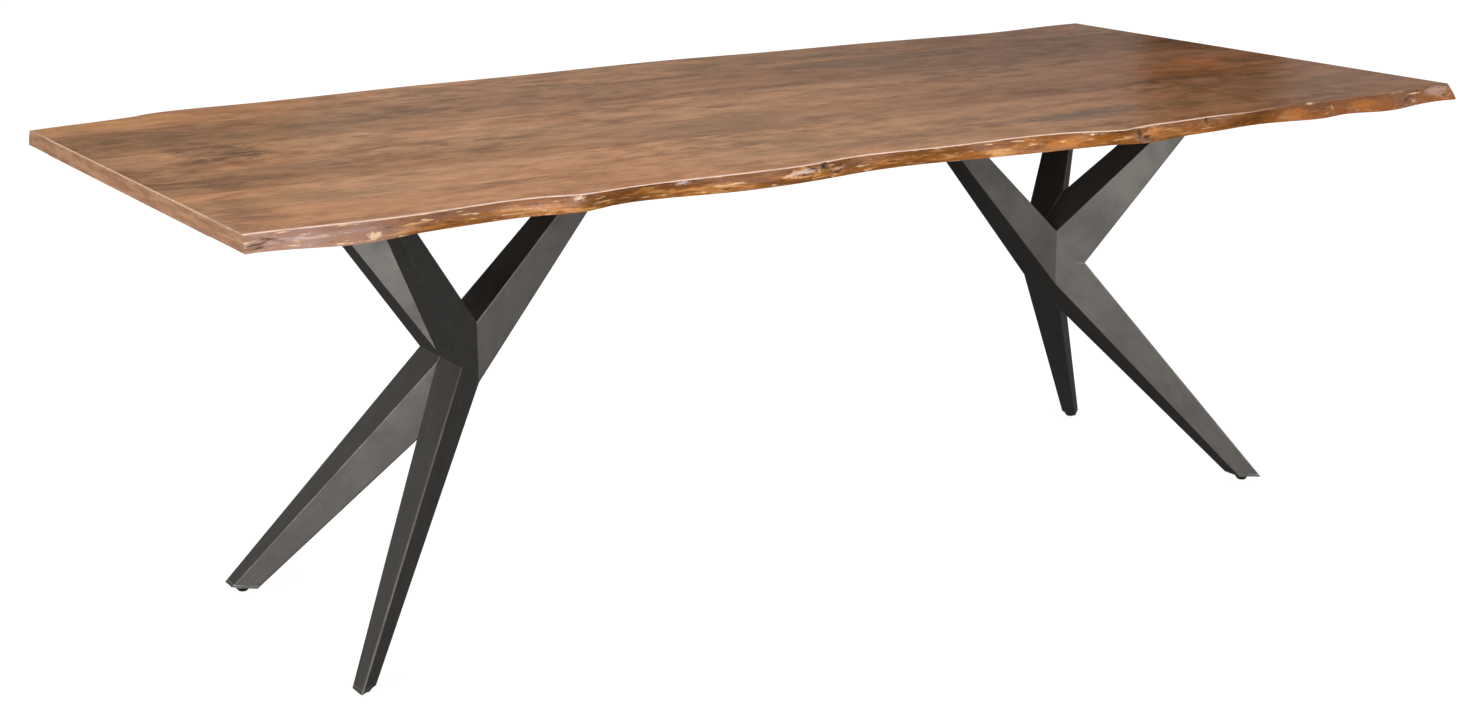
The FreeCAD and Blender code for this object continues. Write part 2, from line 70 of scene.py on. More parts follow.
# A ramp is the low, high, start and end that Graph.spread takes.
Ramp = tuple[float, float, float, float]

ORIGIN: Place = (0.0, 0.0, 0.0)
SAME_SIZE: Place = (1.0, 1.0, 1.0)
WHITE: Colour = (1.0, 1.0, 1.0, 1.0)
UNIT: Range = (0.0, 1.0)
MOST_NOISE: Range = (0.3, 0.7)


class Side(Enum):
    """The pedestal at one end of the table."""

    LEFT = "left"
    RIGHT = "right"


class Row(Enum):
    """The long side of the table that a piece belongs to."""

    FRONT = "front"
    REAR = "rear"

    @property
    def outward(self) -> float:
        """The sign of Y that points away from the table."""
        return -1.0 if self is Row.FRONT else 1.0


class Slot(Enum):
    """Names of material slots, which hand_over takes with a modelled piece."""

    WOOD = "slab_wood"
    PLATED = "plated_steel"
    PLASTIC = "black_plastic"


class Socket(Enum):
    """The kinds of socket on a node group."""

    VALUE = "NodeSocketFloat"
    VECTOR = "NodeSocketVector"


class Blend(Enum):
    """How one colour is laid over another."""

    MIX = "MIX"
    MULTIPLY = "MULTIPLY"


class Pick(Enum):
    """What is selected in edit mode."""

    POINTS = "VERT"
    EDGES = "EDGE"


class Joint(Enum):
    """How two solids become one."""

    UNION = "UNION"
    INTERSECT = "INTERSECT"


class Crease(Enum):
    """How the lumps of the bark side meet."""

    SOFT = "SOFT_NOISE"
    HARD = "HARD_NOISE"


def linear(red: float, green: float, blue: float) -> Colour:
    """Turns a screen colour into a linear one.

    Args:
        red: Screen value from 0 to 255.
        green: Screen value from 0 to 255.
        blue: Screen value from 0 to 255.

    Returns:
        The linear colour, opaque.
    """

    def channel(value: float) -> float:
        """One channel of the colour, by the screen's usual curve."""
        share = value / 255.0
        return share / 12.92 if share <= 0.04045 else ((share + 0.055) / 1.055) ** 2.4

    return channel(red), channel(green), channel(blue), 1.0


class Graph:
    """Short calls that add and join the nodes of one tree."""

    def __init__(self, tree: bpy.types.NodeTree) -> None:
        """Empties the tree and keeps it."""
        self.tree = tree
        tree.nodes.clear()

    def join(self, node: Node, inputs: Inputs) -> None:
        """Fills the sockets of a node.

        Args:
            node: The node.
            inputs: What goes into its sockets, by name or number: a socket is linked, a value is set.
        """
        for key, value in inputs.items():
            if isinstance(value, Link):
                self.tree.links.new(value, node.inputs[key])
            else:
                node.inputs[key].default_value = value

    def add(self, kind: str, inputs: Inputs | None = None, **settings: object) -> Node:
        """Adds a node, sets it up and joins it.

        Args:
            kind: The node's type without its ShaderNode prefix.
            inputs: What goes into its sockets.
            settings: The node's own properties.

        Returns:
            The new node.
        """
        node = self.tree.nodes.new(kind if kind.startswith("NodeGroup") else "ShaderNode" + kind)
        for name, value in settings.items():
            setattr(node, name, value)
        self.join(node, inputs or {})
        return node

    def math(self, operation: str, first: Input, second: Input = 0.0) -> Link:
        """Joins two values by a sum, difference or other operation."""
        return self.add("Math", {0: first, 1: second}, operation=operation).outputs[0]

    def product(self, first: Input, second: Input) -> Link:
        """Multiplies two values."""
        return self.math("MULTIPLY", first, second)

    def vector(self, operation: str, *inputs: Input) -> Link:
        """Joins vectors by an operation that gives a vector."""
        return self.add("VectorMath", dict(enumerate(inputs)), operation=operation).outputs[0]

    def mix(self, share: Input, first: Input, second: Input, blend: Blend = Blend.MIX) -> Link:
        """Mixes two colours.

        Args:
            share: How much of the second colour is taken, from 0 to 1.
            first: The first colour.
            second: The second colour.
            blend: The way of mixing.

        Returns:
            The mixed colour's socket.
        """
        inputs = {0: share, 6: first, 7: second}
        return self.add("Mix", inputs, data_type="RGBA", blend_type=blend.value).outputs[2]

    def cover(self, tone: Link, *layers: tuple[Input, Input]) -> Link:
        """Lays colours over a first one, in order.

        Args:
            tone: The first colour.
            layers: The share and the colour of each layer.

        Returns:
            The last colour's socket.
        """
        for share, colour in layers:
            tone = self.mix(share, tone, colour)
        return tone

    def noise(self, vector: Input, detail: float, rough: float, scale: float = 1.0) -> Link:
        """Gives soft noise from 0 to 1.

        Args:
            vector: Where it is read.
            detail: How many finer layers it has.
            rough: How strong the finer layers are.
            scale: Waves to a unit of the vector.

        Returns:
            The noise's socket.
        """
        inputs = {"Vector": vector, "Scale": scale, "Detail": detail, "Roughness": rough}
        return self.add("TexNoise", inputs).outputs[0]

    def spread(self, value: Input, low: Input, high: Input, start: float = 0.0, end: float = 1.0) -> Link:
        """Maps a value smoothly from one range to another.

        Args:
            value: What is mapped.
            low: The value that gives start.
            high: The value that gives end.
            start: The result at low.
            end: The result at high.

        Returns:
            The mapped value's socket.
        """
        inputs = {0: value, 1: low, 2: high, 3: start, 4: end}
        return self.add("MapRange", inputs, interpolation_type="SMOOTHSTEP").outputs[0]

    def stretch(self, vector: Input, scale: Place, place: Place = ORIGIN, turn: Place = ORIGIN) -> Link:
        """Scales, turns and shifts where a pattern is read.

        Args:
            vector: The coordinates.
            scale: The scale along each axis.
            place: The shift along each axis.
            turn: The turn about each axis, in radians.

        Returns:
            The new coordinates' socket.
        """
        inputs = {"Vector": vector, "Location": place, "Rotation": turn, "Scale": scale}
        return self.add("Mapping", inputs).outputs[0]

    def bump(self, height: Link, strength: float, distance: float, **under: Link) -> Link:
        """Raises a surface.

        Args:
            height: How high each point lies, from 0 to 1.
            strength: How much of the relief shows, from 0 to 1.
            distance: What a height of 1 stands for.
            under: The Normal that the relief lies on, if it isn't the surface's own.

        Returns:
            The new normal's socket.
        """
        inputs = {"Height": height, "Strength": strength, "Distance": distance, **under}
        return self.add("Bump", inputs).outputs[0]


@dataclass(frozen=True)
class Pattern:
    """Soft noise that is drawn out along the axes."""

    waves: Place
    detail: float
    rough: float

    def draw(self, graph: Graph, vector: Input, shift: Place = ORIGIN) -> Link:
        """Adds the pattern to a graph and gives its value, from 0 to 1."""
        return graph.noise(graph.stretch(vector, self.waves, shift), self.detail, self.rough)


class SharedGroup:
    """A shader node group that is built the first time that it is placed."""

    name: ClassVar[str]
    inputs: ClassVar[dict[str, Socket]]

    def fill(self, graph: Graph, given: Outputs) -> dict[str, Link]:
        """Adds the group's nodes.

        Args:
            graph: The group's graph.
            given: The group's inputs, by name.

        Returns:
            What goes to each output of the group, by name.
        """
        raise NotImplementedError

    def tree(self) -> bpy.types.NodeTree:
        """Finds the group, or builds it.

        Returns:
            The group, whose outputs are values.
        """
        known = bpy.data.node_groups.get(self.name)
        if known:
            return known
        tree = bpy.data.node_groups.new(self.name, "ShaderNodeTree")
        for label, kind in self.inputs.items():
            tree.interface.new_socket(name=label, in_out="INPUT", socket_type=kind.value)
        graph = Graph(tree)
        made = self.fill(graph, graph.add("NodeGroupInput").outputs)
        for label in made:
            tree.interface.new_socket(name=label, in_out="OUTPUT", socket_type=Socket.VALUE.value)
        graph.add("NodeGroupOutput", made)
        return tree

    def place(self, graph: Graph, **inputs: Input) -> Outputs:
        """Places the group in a graph and gives its outputs."""
        return graph.add("Group", inputs, node_tree=self.tree()).outputs


@dataclass(frozen=True)
class GrainLayer:
    """One layer of timber grain, taken between two levels of a pattern."""

    label: str
    pattern: Pattern
    levels: Range
    bent: bool = True


@dataclass(frozen=True)
class LongGrain(SharedGroup):
    """Timber grain along X: broad figure, smudged blotches, streaks, fibres, pores and slow clouds."""

    name = "long_grain"
    inputs = {"Vector": Socket.VECTOR, "Shift": Socket.VECTOR}
    layers: tuple[GrainLayer, ...] = (
        GrainLayer("Figure", Pattern((2.6, 9.0, 9.0), 5.0, 0.62), (0.32, 0.68)),
        GrainLayer("Blotch", Pattern((14.0, 27.0, 27.0), 6.0, 0.68), (0.34, 0.66)),
        GrainLayer("Streak", Pattern((8.0, 95.0, 95.0), 5.0, 0.65), (0.3, 0.7)),
        GrainLayer("Fibre", Pattern((18.0, 420.0, 420.0), 3.0, 0.6), (0.25, 0.75)),
        GrainLayer("Pores", Pattern((70.0, 900.0, 900.0), 1.0, 0.5), (0.62, 0.74)),
        GrainLayer("Cloud", Pattern((1.9, 5.0, 5.0), 3.0, 0.55), (0.33, 0.68), bent=False),
    )
    wander_waves: Place = (2.4, 8.0, 8.0)
    wander_detail: float = 3.0
    bend: Place = (0.10, 0.045, 0.0)

    def fill(self, graph: Graph, given: Outputs) -> dict[str, Link]:
        """Adds the grain's nodes.

        Args:
            graph: The group's graph.
            given: The Vector and the board's own Shift.

        Returns:
            The layers, each from 0 to 1.
        """
        spot = graph.vector("ADD", given["Vector"], given["Shift"])
        read = graph.stretch(spot, self.wander_waves)
        wander = graph.add("TexNoise", {"Vector": read, "Scale": 1.0, "Detail": self.wander_detail})
        bent = graph.vector("ADD", spot, graph.vector("MULTIPLY", wander.outputs[1], self.bend))
        made = {}
        for layer in self.layers:
            drawn = layer.pattern.draw(graph, bent if layer.bent else spot)
            made[layer.label] = graph.spread(drawn, *layer.levels)
        return made


@dataclass(frozen=True)
class SoftPatch(SharedGroup):
    """A mask of one ragged, soft-edged oval."""

    name = "soft_patch"
    inputs = {"Vector": Socket.VECTOR, "Centre": Socket.VECTOR, "Reach": Socket.VECTOR}
    waves: Place = (1.6, 1.6, 1.6)
    detail: float = 6.0
    rough: float = 0.74
    ragged: Ramp = (0.28, 0.72, -0.6, 0.6)
    rim: Range = (1.1, 0.35)

    def fill(self, graph: Graph, given: Outputs) -> dict[str, Link]:
        """Adds the oval's nodes.

        Args:
            graph: The group's graph.
            given: The Vector, and the oval's Centre and Reach.

        Returns:
            The Mask, 1 inside the oval and 0 outside it.
        """
        offset = graph.vector("SUBTRACT", given["Vector"], given["Centre"])
        share = graph.vector("DIVIDE", offset, given["Reach"])
        around = graph.vector("MULTIPLY_ADD", share, self.waves, given["Centre"])
        ragged = graph.spread(graph.noise(around, self.detail, self.rough), *self.ragged)
        reach = graph.add("VectorMath", {0: share}, operation="LENGTH").outputs["Value"]
        return {"Mask": graph.spread(graph.math("ADD", reach, ragged), *self.rim)}


@dataclass(frozen=True)
class Mottle(SharedGroup):
    """The slow clouds and fine specks of a plain, handled surface."""

    name = "mottle"
    inputs = {"Vector": Socket.VECTOR, "Size": Socket.VALUE}
    cloud_detail: float = 5.0
    speck_detail: float = 3.0
    speck_scale: float = 24.0
    rough: float = 0.6

    def fill(self, graph: Graph, given: Outputs) -> dict[str, Link]:
        """Adds the clouding's nodes.

        Args:
            graph: The group's graph.
            given: The Vector and the Size, in clouds to a metre.

        Returns:
            The Cloud and the Speck, each from 0 to 1.
        """
        inputs = {0: given["Vector"], "Scale": given["Size"]}
        sized = graph.add("VectorMath", inputs, operation="SCALE").outputs[0]
        cloud = graph.noise(sized, self.cloud_detail, self.rough)
        speck = graph.noise(sized, self.speck_detail, self.rough, self.speck_scale)
        return {"Cloud": graph.spread(cloud, *MOST_NOISE), "Speck": graph.spread(speck, *MOST_NOISE)}


@dataclass(frozen=True)
class EdgeWearAndHighlight(SharedGroup):
    """A mask of the outer edges of a piece, for rubbed wear and painted edge highlights."""

    name = "edge_wear_and_highlight"
    inputs = {"Vector": Socket.VECTOR, "Width": Socket.VALUE}
    samples: int = 6
    facing: Range = (0.995, 0.93)
    scale: float = 38.0
    detail: float = 5.0
    rough: float = 0.65
    kept: Range = (0.32, 0.62)

    def fill(self, graph: Graph, given: Outputs) -> dict[str, Link]:
        """Adds the edge finder's nodes.

        Args:
            graph: The group's graph.
            given: The Vector and the Width of the wear.

        Returns:
            The Mask, 1 along the edges and broken up by noise.
        """
        rounded = graph.add("Bevel", {"Radius": given["Width"]}, samples=self.samples).outputs[0]
        true = graph.add("NewGeometry").outputs["Normal"]
        facing = graph.add("VectorMath", {0: rounded, 1: true}, operation="DOT_PRODUCT").outputs["Value"]
        broken = graph.noise(given["Vector"], self.detail, self.rough, self.scale)
        edge = graph.spread(facing, *self.facing)
        return {"Mask": graph.product(edge, graph.spread(broken, *self.kept))}


def new_material(name: str) -> tuple[bpy.types.Material, Graph, Link, Node]:
    """Starts a node material.

    Args:
        name: The material's name.

    Returns:
        The material, its graph, its Object coordinates and its Principled node, joined to the output.
    """
    material = bpy.data.materials.new(name)
    material.use_nodes = True
    graph = Graph(material.node_tree)
    spot = graph.add("TexCoord").outputs["Object"]
    shader = graph.add("BsdfPrincipled")
    graph.add("OutputMaterial", {"Surface": shader.outputs[0]})
    return material, graph, spot, shader


@dataclass(frozen=True)
class Patch:
    """A soft oval of another tone on the top, as stain and figure leave it."""

    centre: Range
    reach: Range
    tone: Colour
    strength: float

    def lies_on(self, low: float, high: float) -> bool:
        """Tells whether the patch touches a board between two values of Y."""
        return low < self.centre[1] + self.reach[1] and self.centre[1] - self.reach[1] < high


@dataclass(frozen=True)
class Scar:
    """A knot, dent or crack in a live edge, some with a pale tone that is a painted glint, or, without
    depth, a stain.
    """

    along: float
    level: float
    length: float
    reach: float
    depth: float = 0.0
    drop: float = 0.0
    slant: float = 0.0
    tone: Colour | None = None
    rise: float = 0.0


@dataclass(frozen=True)
class Ground:
    """What the layers of one board's finish read: its place, the way it faces, its grain and its height."""

    graph: Graph
    spot: Link
    along: Link
    level: Link
    upright: Link
    endwise: Link
    grain: Outputs
    shift: Place
    foot: float
    top: float

    def oval(self, centre: Place, reach: Place) -> Link:
        """Masks one ragged oval of the board."""
        return SoftPatch().place(self.graph, Vector=self.spot, Centre=centre, Reach=reach)["Mask"]


@dataclass(frozen=True)
class FaceTones:
    """The stained colours of a board's flat faces, with a painted light falloff that darkens them towards
    the right end.
    """

    dark: Colour = linear(124, 86, 59)
    middle: Colour = linear(186, 136, 98)
    pale: Colour = linear(220, 166, 122)
    orange: Colour = linear(206, 136, 80)
    olive: Colour = linear(156, 118, 80)
    pale_share: float = 0.75
    streak_ramp: Ramp = (0.4, 0.0, 0.0, 0.25)
    olive_ramp: Ramp = (0.45, 0.0, 0.0, 0.4)
    fibre_shade: Range = (0.92, 1.08)
    pore_share: float = 0.3
    # Painted light falloff: the faces are darkened towards the right end, where the light falls off.
    painted_light_falloff_along: Range = (-0.45, 0.95)
    painted_light_falloff: Colour = (0.53, 0.5, 0.517, 1.0)
    patch_figure: Range = (0.78, 1.12)
    patch_blotch: Range = (0.82, 1.18)
    patch_loss: float = 0.6
    patch_through: float = 1.0

    def colour(self, ground: Ground, gain: float, warmth: float, patches: Sequence[Patch]) -> Link:
        """Builds the colour.

        Args:
            ground: What the finish reads.
            gain: How bright the board is.
            warmth: The share of orange in it.
            patches: The patches that lie on it.

        Returns:
            The colour's socket.
        """
        graph, grain = ground.graph, ground.grain
        tone = graph.cover(
            graph.mix(grain["Figure"], self.dark, self.middle),
            (graph.product(grain["Blotch"], self.pale_share), self.pale),
            (graph.spread(grain["Streak"], *self.streak_ramp), self.dark),
            (graph.product(grain["Cloud"], warmth), self.orange),
            (graph.spread(grain["Cloud"], *self.olive_ramp), self.olive),
        )
        shade = graph.spread(grain["Fibre"], *UNIT, *(gain * share for share in self.fibre_shade))
        tone = graph.mix(1.0, tone, shade, Blend.MULTIPLY)
        # Painted light falloff: darker towards the right end.
        tone = graph.mix(graph.spread(ground.along, *self.painted_light_falloff_along), tone, self.painted_light_falloff, Blend.MULTIPLY)
        grained = graph.product(graph.spread(grain["Figure"], *UNIT, *self.patch_figure),
                                graph.spread(grain["Blotch"], *UNIT, *self.patch_blotch))
        for patch in patches:
            mask = ground.oval((*patch.centre, ground.top), (*patch.reach, self.patch_through))
            uneven = graph.spread(grain["Blotch"], *UNIT, patch.strength, self.patch_loss * patch.strength)
            stain = graph.mix(1.0, patch.tone, grained, Blend.MULTIPLY)
            tone = graph.mix(graph.product(mask, uneven), tone, stain)
        return graph.mix(graph.product(grain["Pores"], self.pore_share), tone, self.dark)


@dataclass(frozen=True)
class BarkTones:
    """The colours of the bark-side edge, with its flecks, stains and scars, and painted light: shade in its
    hollows and under the arris, glints on its ridges and pale flecks, and glare at the left end.
    """

    dark: Colour = linear(58, 36, 22)
    brown: Colour = linear(112, 70, 38)
    amber: Colour = linear(158, 100, 46)
    # Painted reflection: a greyish mauve that stands in for the key light's glare in the lacquer at the left
    # end.
    painted_glare_mauve: Colour = linear(150, 118, 108)
    red: Colour = linear(132, 76, 32)
    # This pale tone is used only for painted glints, on the flecks and on the ridges.
    pale: Colour = linear(236, 196, 148)
    tan: Colour = linear(216, 164, 110)
    lumps: Pattern = Pattern((14.0, 40.0, 90.0), 5.0, 0.62)
    flecks: Pattern = Pattern((26.0, 120.0, 240.0), 4.0, 0.6)
    tilt: Range = (0.92, 0.8)
    amber_ramp: Range = (0.34, 0.62)
    tan_ramp: Ramp = (0.53, 0.68, 0.0, 0.6)
    bare_along: Ramp = (0.3, 0.6, 1.0, 0.3)
    red_along: Ramp = (0.45, 0.75, 0.0, 0.8)
    # Where the painted glare reflection lies: the left end, broken up by the lumps.
    painted_glare_along: Range = (-0.86, -0.98)
    painted_glare_ramp: Ramp = (0.3, 0.6, 1.0, 0.55)
    # Painted glints: pale flecks stand in for small highlights of the lacquer; the dark specks are the
    # timber's own.
    painted_glint_fleck_ramp: Ramp = (0.58, 0.69, 0.0, 0.75)
    speck_ramp: Ramp = (0.4, 0.3, 0.0, 0.75)
    # Painted shade in the hollows and painted glints on the ridges, read from the mesh's pointiness.
    painted_hollow_shade_ramp: Ramp = (0.49, 0.42, 0.0, 0.8)
    painted_ridge_glint_ramp: Ramp = (0.55, 0.66, 0.0, 0.4)
    # Painted shade: a darker brown band under the arris, whose lower edge wanders along the board.
    painted_shade_band: Pattern = Pattern((9.0, 0.0, 0.0), 4.0, 0.6)
    band_deep: float = 20.0 * MM
    band_shallow: float = 2.0 * MM
    band_blur: float = 2.0 * MM
    painted_shade_band_share: float = 0.7
    stain_share: float = 0.55
    dent_and_glint_share: float = 0.8
    scar_through: float = 9.0

    def share(self, ground: Ground) -> Link:
        """Finds the faces that stand upright."""
        return ground.graph.spread(ground.upright, *self.tilt)

    def colour(self, ground: Ground, scars: Sequence[Scar]) -> Link:
        """Builds the colour.

        Args:
            ground: What the finish reads.
            scars: The scars of the edge.

        Returns:
            The colour's socket.
        """
        graph, along = ground.graph, ground.along
        lumps = self.lumps.draw(graph, ground.spot, ground.shift)
        flecks = self.flecks.draw(graph, ground.spot, ground.shift)
        bare = graph.spread(along, *self.bare_along)
        # Painted reflection: the greyish mauve glare at the left end.
        painted_glare = graph.product(graph.spread(along, *self.painted_glare_along), graph.spread(lumps, *self.painted_glare_ramp))
        # Painted shade: the band under the arris, darker brown.
        wander = self.painted_shade_band.draw(graph, ground.spot, ground.shift)
        lower = graph.spread(wander, *MOST_NOISE, ground.top - self.band_deep,
                             ground.top - self.band_shallow)
        painted_shade_band = graph.spread(graph.math("SUBTRACT", ground.level, lower), -self.band_blur, self.band_blur)
        # Pointiness, for the painted shade in hollows and the painted glints on ridges.
        hollow = graph.add("NewGeometry").outputs["Pointiness"]
        return graph.cover(
            graph.mix(graph.spread(lumps, *self.amber_ramp), self.brown, self.amber),
            (graph.product(graph.spread(lumps, *self.tan_ramp), bare), self.tan),
            (graph.spread(along, *self.red_along), self.red),
            # Painted shade under the arris.
            (graph.product(painted_shade_band, self.painted_shade_band_share), self.brown),
            # Painted glare reflection at the left end.
            (painted_glare, self.painted_glare_mauve),
            *self.marks(ground, [scar for scar in scars if not scar.depth], self.stain_share),
            # Painted glints: pale flecks.
            (graph.product(graph.spread(flecks, *self.painted_glint_fleck_ramp), bare), self.pale),
            (graph.spread(flecks, *self.speck_ramp), self.dark),
            # Painted shade in the hollows, then painted glints on the ridges.
            (graph.spread(hollow, *self.painted_hollow_shade_ramp), self.dark),
            (graph.spread(hollow, *self.painted_ridge_glint_ramp), self.pale),
            # Dents, knots and cracks, and the pale dents that are painted glints.
            *self.marks(ground, [scar for scar in scars if scar.depth], self.dent_and_glint_share),
        )

    def marks(self, ground: Ground, scars: Sequence[Scar], share: float) -> list[tuple[Link, Colour]]:
        """Finds where the tones of some scars cover the edge.

        Args:
            ground: What the finish reads.
            scars: The scars. One without a tone leaves no mark.
            share: How far a scar's own tone covers the edge, from 0 to 1.

        Returns:
            The share and the tone of each mark.
        """
        layers = []
        for scar in scars:
            if scar.tone:
                centre = (scar.along, 0.0, ground.foot + scar.level * (ground.top - ground.foot))
                reach = (scar.length / 2 + scar.reach, self.scar_through, scar.rise or scar.reach)
                layers.append((ground.graph.product(ground.oval(centre, reach), share), scar.tone))
        return layers


@dataclass(frozen=True)
class EndTones:
    """The colours of the sawn ends."""

    plain: Colour = linear(178, 136, 107)
    dark: Colour = linear(147, 108, 82)
    rings: Pattern = Pattern((20.0, 16.0, 150.0), 4.0, 0.55)
    tilt: Range = (0.72, 0.9)

    def share(self, ground: Ground) -> Link:
        """Finds the faces that look along the board."""
        return ground.graph.spread(ground.endwise, *self.tilt)

    def colour(self, ground: Ground) -> Link:
        """Builds the colour from the year rings."""
        rings = ground.graph.spread(self.rings.draw(ground.graph, ground.spot), *MOST_NOISE)
        return ground.graph.mix(rings, self.plain, self.dark)


@dataclass(frozen=True)
class ArrisHighlight:
    """A painted highlight on the eased upper edges: a pale tone in the colour that stands in for the
    lacquer's sheen on the arris.
    """

    # Painted highlight: the pale tone laid along the arris.
    colour: Colour = linear(238, 208, 192)
    height: float = 2.0 * MM
    full_height: float = 1.2 * MM
    tilt: Range = (0.99, 0.95)
    along: Ramp = (0.5, 0.7, 0.95, 0.1)
    fibre: Ramp = (0.0, 0.6, 0.6, 1.0)
    ends: Ramp = (0.3, 0.55, 1.0, 0.25)

    def share(self, ground: Ground) -> Link:
        """Finds where the painted arris highlight lies, less of it to the right and at the ends.

        Args:
            ground: What the finish reads.

        Returns:
            The share of the painted highlight.
        """
        graph = ground.graph
        high = graph.spread(ground.level, ground.top - self.height, ground.top - self.full_height)
        eased = graph.product(high, graph.spread(ground.upright, *self.tilt))
        kept = graph.product(graph.spread(ground.along, *self.along),
                             graph.spread(ground.grain["Fibre"], *self.fibre))
        kept = graph.product(kept, graph.spread(ground.endwise, *self.ends))
        return graph.product(eased, kept)


@dataclass(frozen=True)
class Lacquer:
    """A satin coat over the timber, chipped and glossier on the bark-side edge."""

    roughness: Range = (0.6, 0.51)
    edge_polish: float = 0.2
    coat: Range = (0.1, 0.5)
    coat_roughness: float = 0.14
    specular: float = 0.0
    fibre_relief: float = 0.6
    grain_height: float = 0.4 * MM
    grain_strength: float = 0.25
    chips: Pattern = Pattern((34.0, 90.0, 150.0), 4.0, 0.6)
    chip_height: float = 1.4 * MM
    chip_strength: float = 0.8

    def inputs(self, ground: Ground, edge_share: Link) -> Inputs:
        """Works out how the lacquer shines.

        Args:
            ground: What the finish reads.
            edge_share: The share of the bark-side edge.

        Returns:
            What goes into the Principled node.
        """
        graph, grain = ground.graph, ground.grain
        plain = graph.spread(grain["Fibre"], *UNIT, *self.roughness)
        relief = graph.math("SUBTRACT", graph.product(grain["Fibre"], self.fibre_relief), grain["Pores"])
        fine = graph.bump(relief, self.grain_strength, self.grain_height)
        chips = graph.product(self.chips.draw(graph, ground.spot, ground.shift), edge_share)
        normal = graph.bump(chips, self.chip_strength, self.chip_height, Normal=fine)
        return {
            "Roughness": graph.math("SUBTRACT", plain, graph.product(edge_share, self.edge_polish)),
            "Specular IOR Level": self.specular,
            "Coat Weight": graph.spread(edge_share, *UNIT, *self.coat),
            "Coat Roughness": self.coat_roughness,
            "Normal": normal,
            "Coat Normal": normal,
        }


@dataclass(frozen=True)
class WoodFinish:
    """Stained and lacquered timber, with a bark-side edge, a painted highlight along the arrises and sawn
    ends.
    """

    name: str
    shift: Place
    foot: float
    top: float
    gain: float
    warmth: float
    patches: tuple[Patch, ...]
    scars: tuple[Scar, ...]
    face: FaceTones = FaceTones()
    bark: BarkTones = BarkTones()
    ends: EndTones = EndTones()
    # The arris layer is a painted highlight along the upper edges.
    arris: ArrisHighlight = ArrisHighlight()
    lacquer: Lacquer = Lacquer()

    def material(self) -> bpy.types.Material:
        """Builds the timber.

        Returns:
            A material for a whole board.
        """
        material, graph, spot, shader = new_material(self.name)
        along, _, level = graph.add("SeparateXYZ", {0: spot}).outputs
        normal = graph.add("SeparateXYZ", {0: graph.add("TexCoord").outputs["Normal"]}).outputs
        upright = graph.math("ABSOLUTE", normal[Z])
        endwise = graph.math("ABSOLUTE", normal[X])
        grain = LongGrain().place(graph, Vector=spot, Shift=self.shift)
        ground = Ground(graph, spot, along, level, upright, endwise, grain, self.shift, self.foot, self.top)
        edge_share = self.bark.share(ground)
        colour = graph.cover(
            self.face.colour(ground, self.gain, self.warmth, self.patches),
            (edge_share, self.bark.colour(ground, self.scars)),
            (self.ends.share(ground), self.ends.colour(ground)),
            # Painted highlight: the pale arris tone laid over the colour.
            (self.arris.share(ground), self.arris.colour),
        )
        graph.join(shader, {"Base Color": colour, **self.lacquer.inputs(ground, edge_share)})
        return material


@dataclass(frozen=True)
class GunmetalFinish:
    """Dark brushed steel, rubbed bright and with a painted highlight along its edges, except where the hub
    is ground smooth.
    """

    name: str
    along: Place
    hub: Place
    hub_reach: float = 200.0 * MM
    steel: Colour = linear(106, 103, 98)
    shade: Colour = linear(92, 89, 86)
    # Pale edge tone: rubbed wear and a painted highlight along the edges.
    worn_and_highlit: Colour = linear(190, 187, 182)
    brush: Pattern = Pattern((14.0, 620.0, 620.0), 3.0, 0.6)
    brush_shade: Range = (0.92, 1.08)
    brush_gloss: Range = (-0.05, 0.06)
    brush_strength: float = 0.5
    brush_height: float = 0.08 * MM
    cloud_size: float = 11.0
    roughness: Range = (0.52, 0.42)
    wear_width: float = 2.2 * MM
    wear_share: Range = (0.6, 0.02)
    metallic: float = 0.85

    def material(self) -> bpy.types.Material:
        """Builds the steel.

        Returns:
            A material brushed along one direction.
        """
        material, graph, spot, shader = new_material(self.name)
        turn = Vector(self.along).to_track_quat("X", "Z").inverted().to_euler()
        brushed = self.brush.draw(graph, graph.stretch(spot, SAME_SIZE, turn=tuple(turn)))
        cloud = Mottle().place(graph, Vector=spot, Size=self.cloud_size)["Cloud"]
        wear = EdgeWearAndHighlight().place(graph, Vector=spot, Width=self.wear_width)["Mask"]
        ground = SoftPatch().place(graph, Vector=spot, Centre=self.hub, Reach=(self.hub_reach,) * 3)["Mask"]
        streak = graph.spread(brushed, *MOST_NOISE, *self.brush_shade)
        tone = graph.mix(1.0, graph.mix(cloud, self.shade, self.steel), streak, Blend.MULTIPLY)
        # Rubbed wear and painted edge highlight, kept off the smoothly ground hub.
        worn_and_highlit = graph.product(wear, graph.spread(ground, *UNIT, *self.wear_share))
        graph.join(shader, {
            "Base Color": graph.mix(worn_and_highlit, tone, self.worn_and_highlit),
            "Metallic": self.metallic,
            "Roughness": graph.math("ADD", graph.spread(brushed, *MOST_NOISE, *self.brush_gloss),
                                    graph.spread(cloud, *UNIT, *self.roughness)),
            "Normal": graph.bump(brushed, self.brush_strength, self.brush_height),
        })
        return material


@dataclass(frozen=True)
class PlatedFinish:
    """Bright zinc plating on the hidden fasteners."""

    name: str = "zinc_plating"
    bright: Colour = linear(196, 194, 186)
    dull: Colour = linear(150, 149, 144)
    cloud_size: float = 160.0
    roughness: Range = (0.24, 0.42)
    metallic: float = 1.0

    def material(self) -> bpy.types.Material:
        """Builds the plating.

        Returns:
            A bright metal, clouded and specked.
        """
        material, graph, spot, shader = new_material(self.name)
        clouds = Mottle().place(graph, Vector=spot, Size=self.cloud_size)
        graph.join(shader, {
            "Base Color": graph.mix(clouds["Cloud"], self.dull, self.bright),
            "Metallic": self.metallic,
            "Roughness": graph.spread(clouds["Speck"], *UNIT, *self.roughness),
        })
        return material


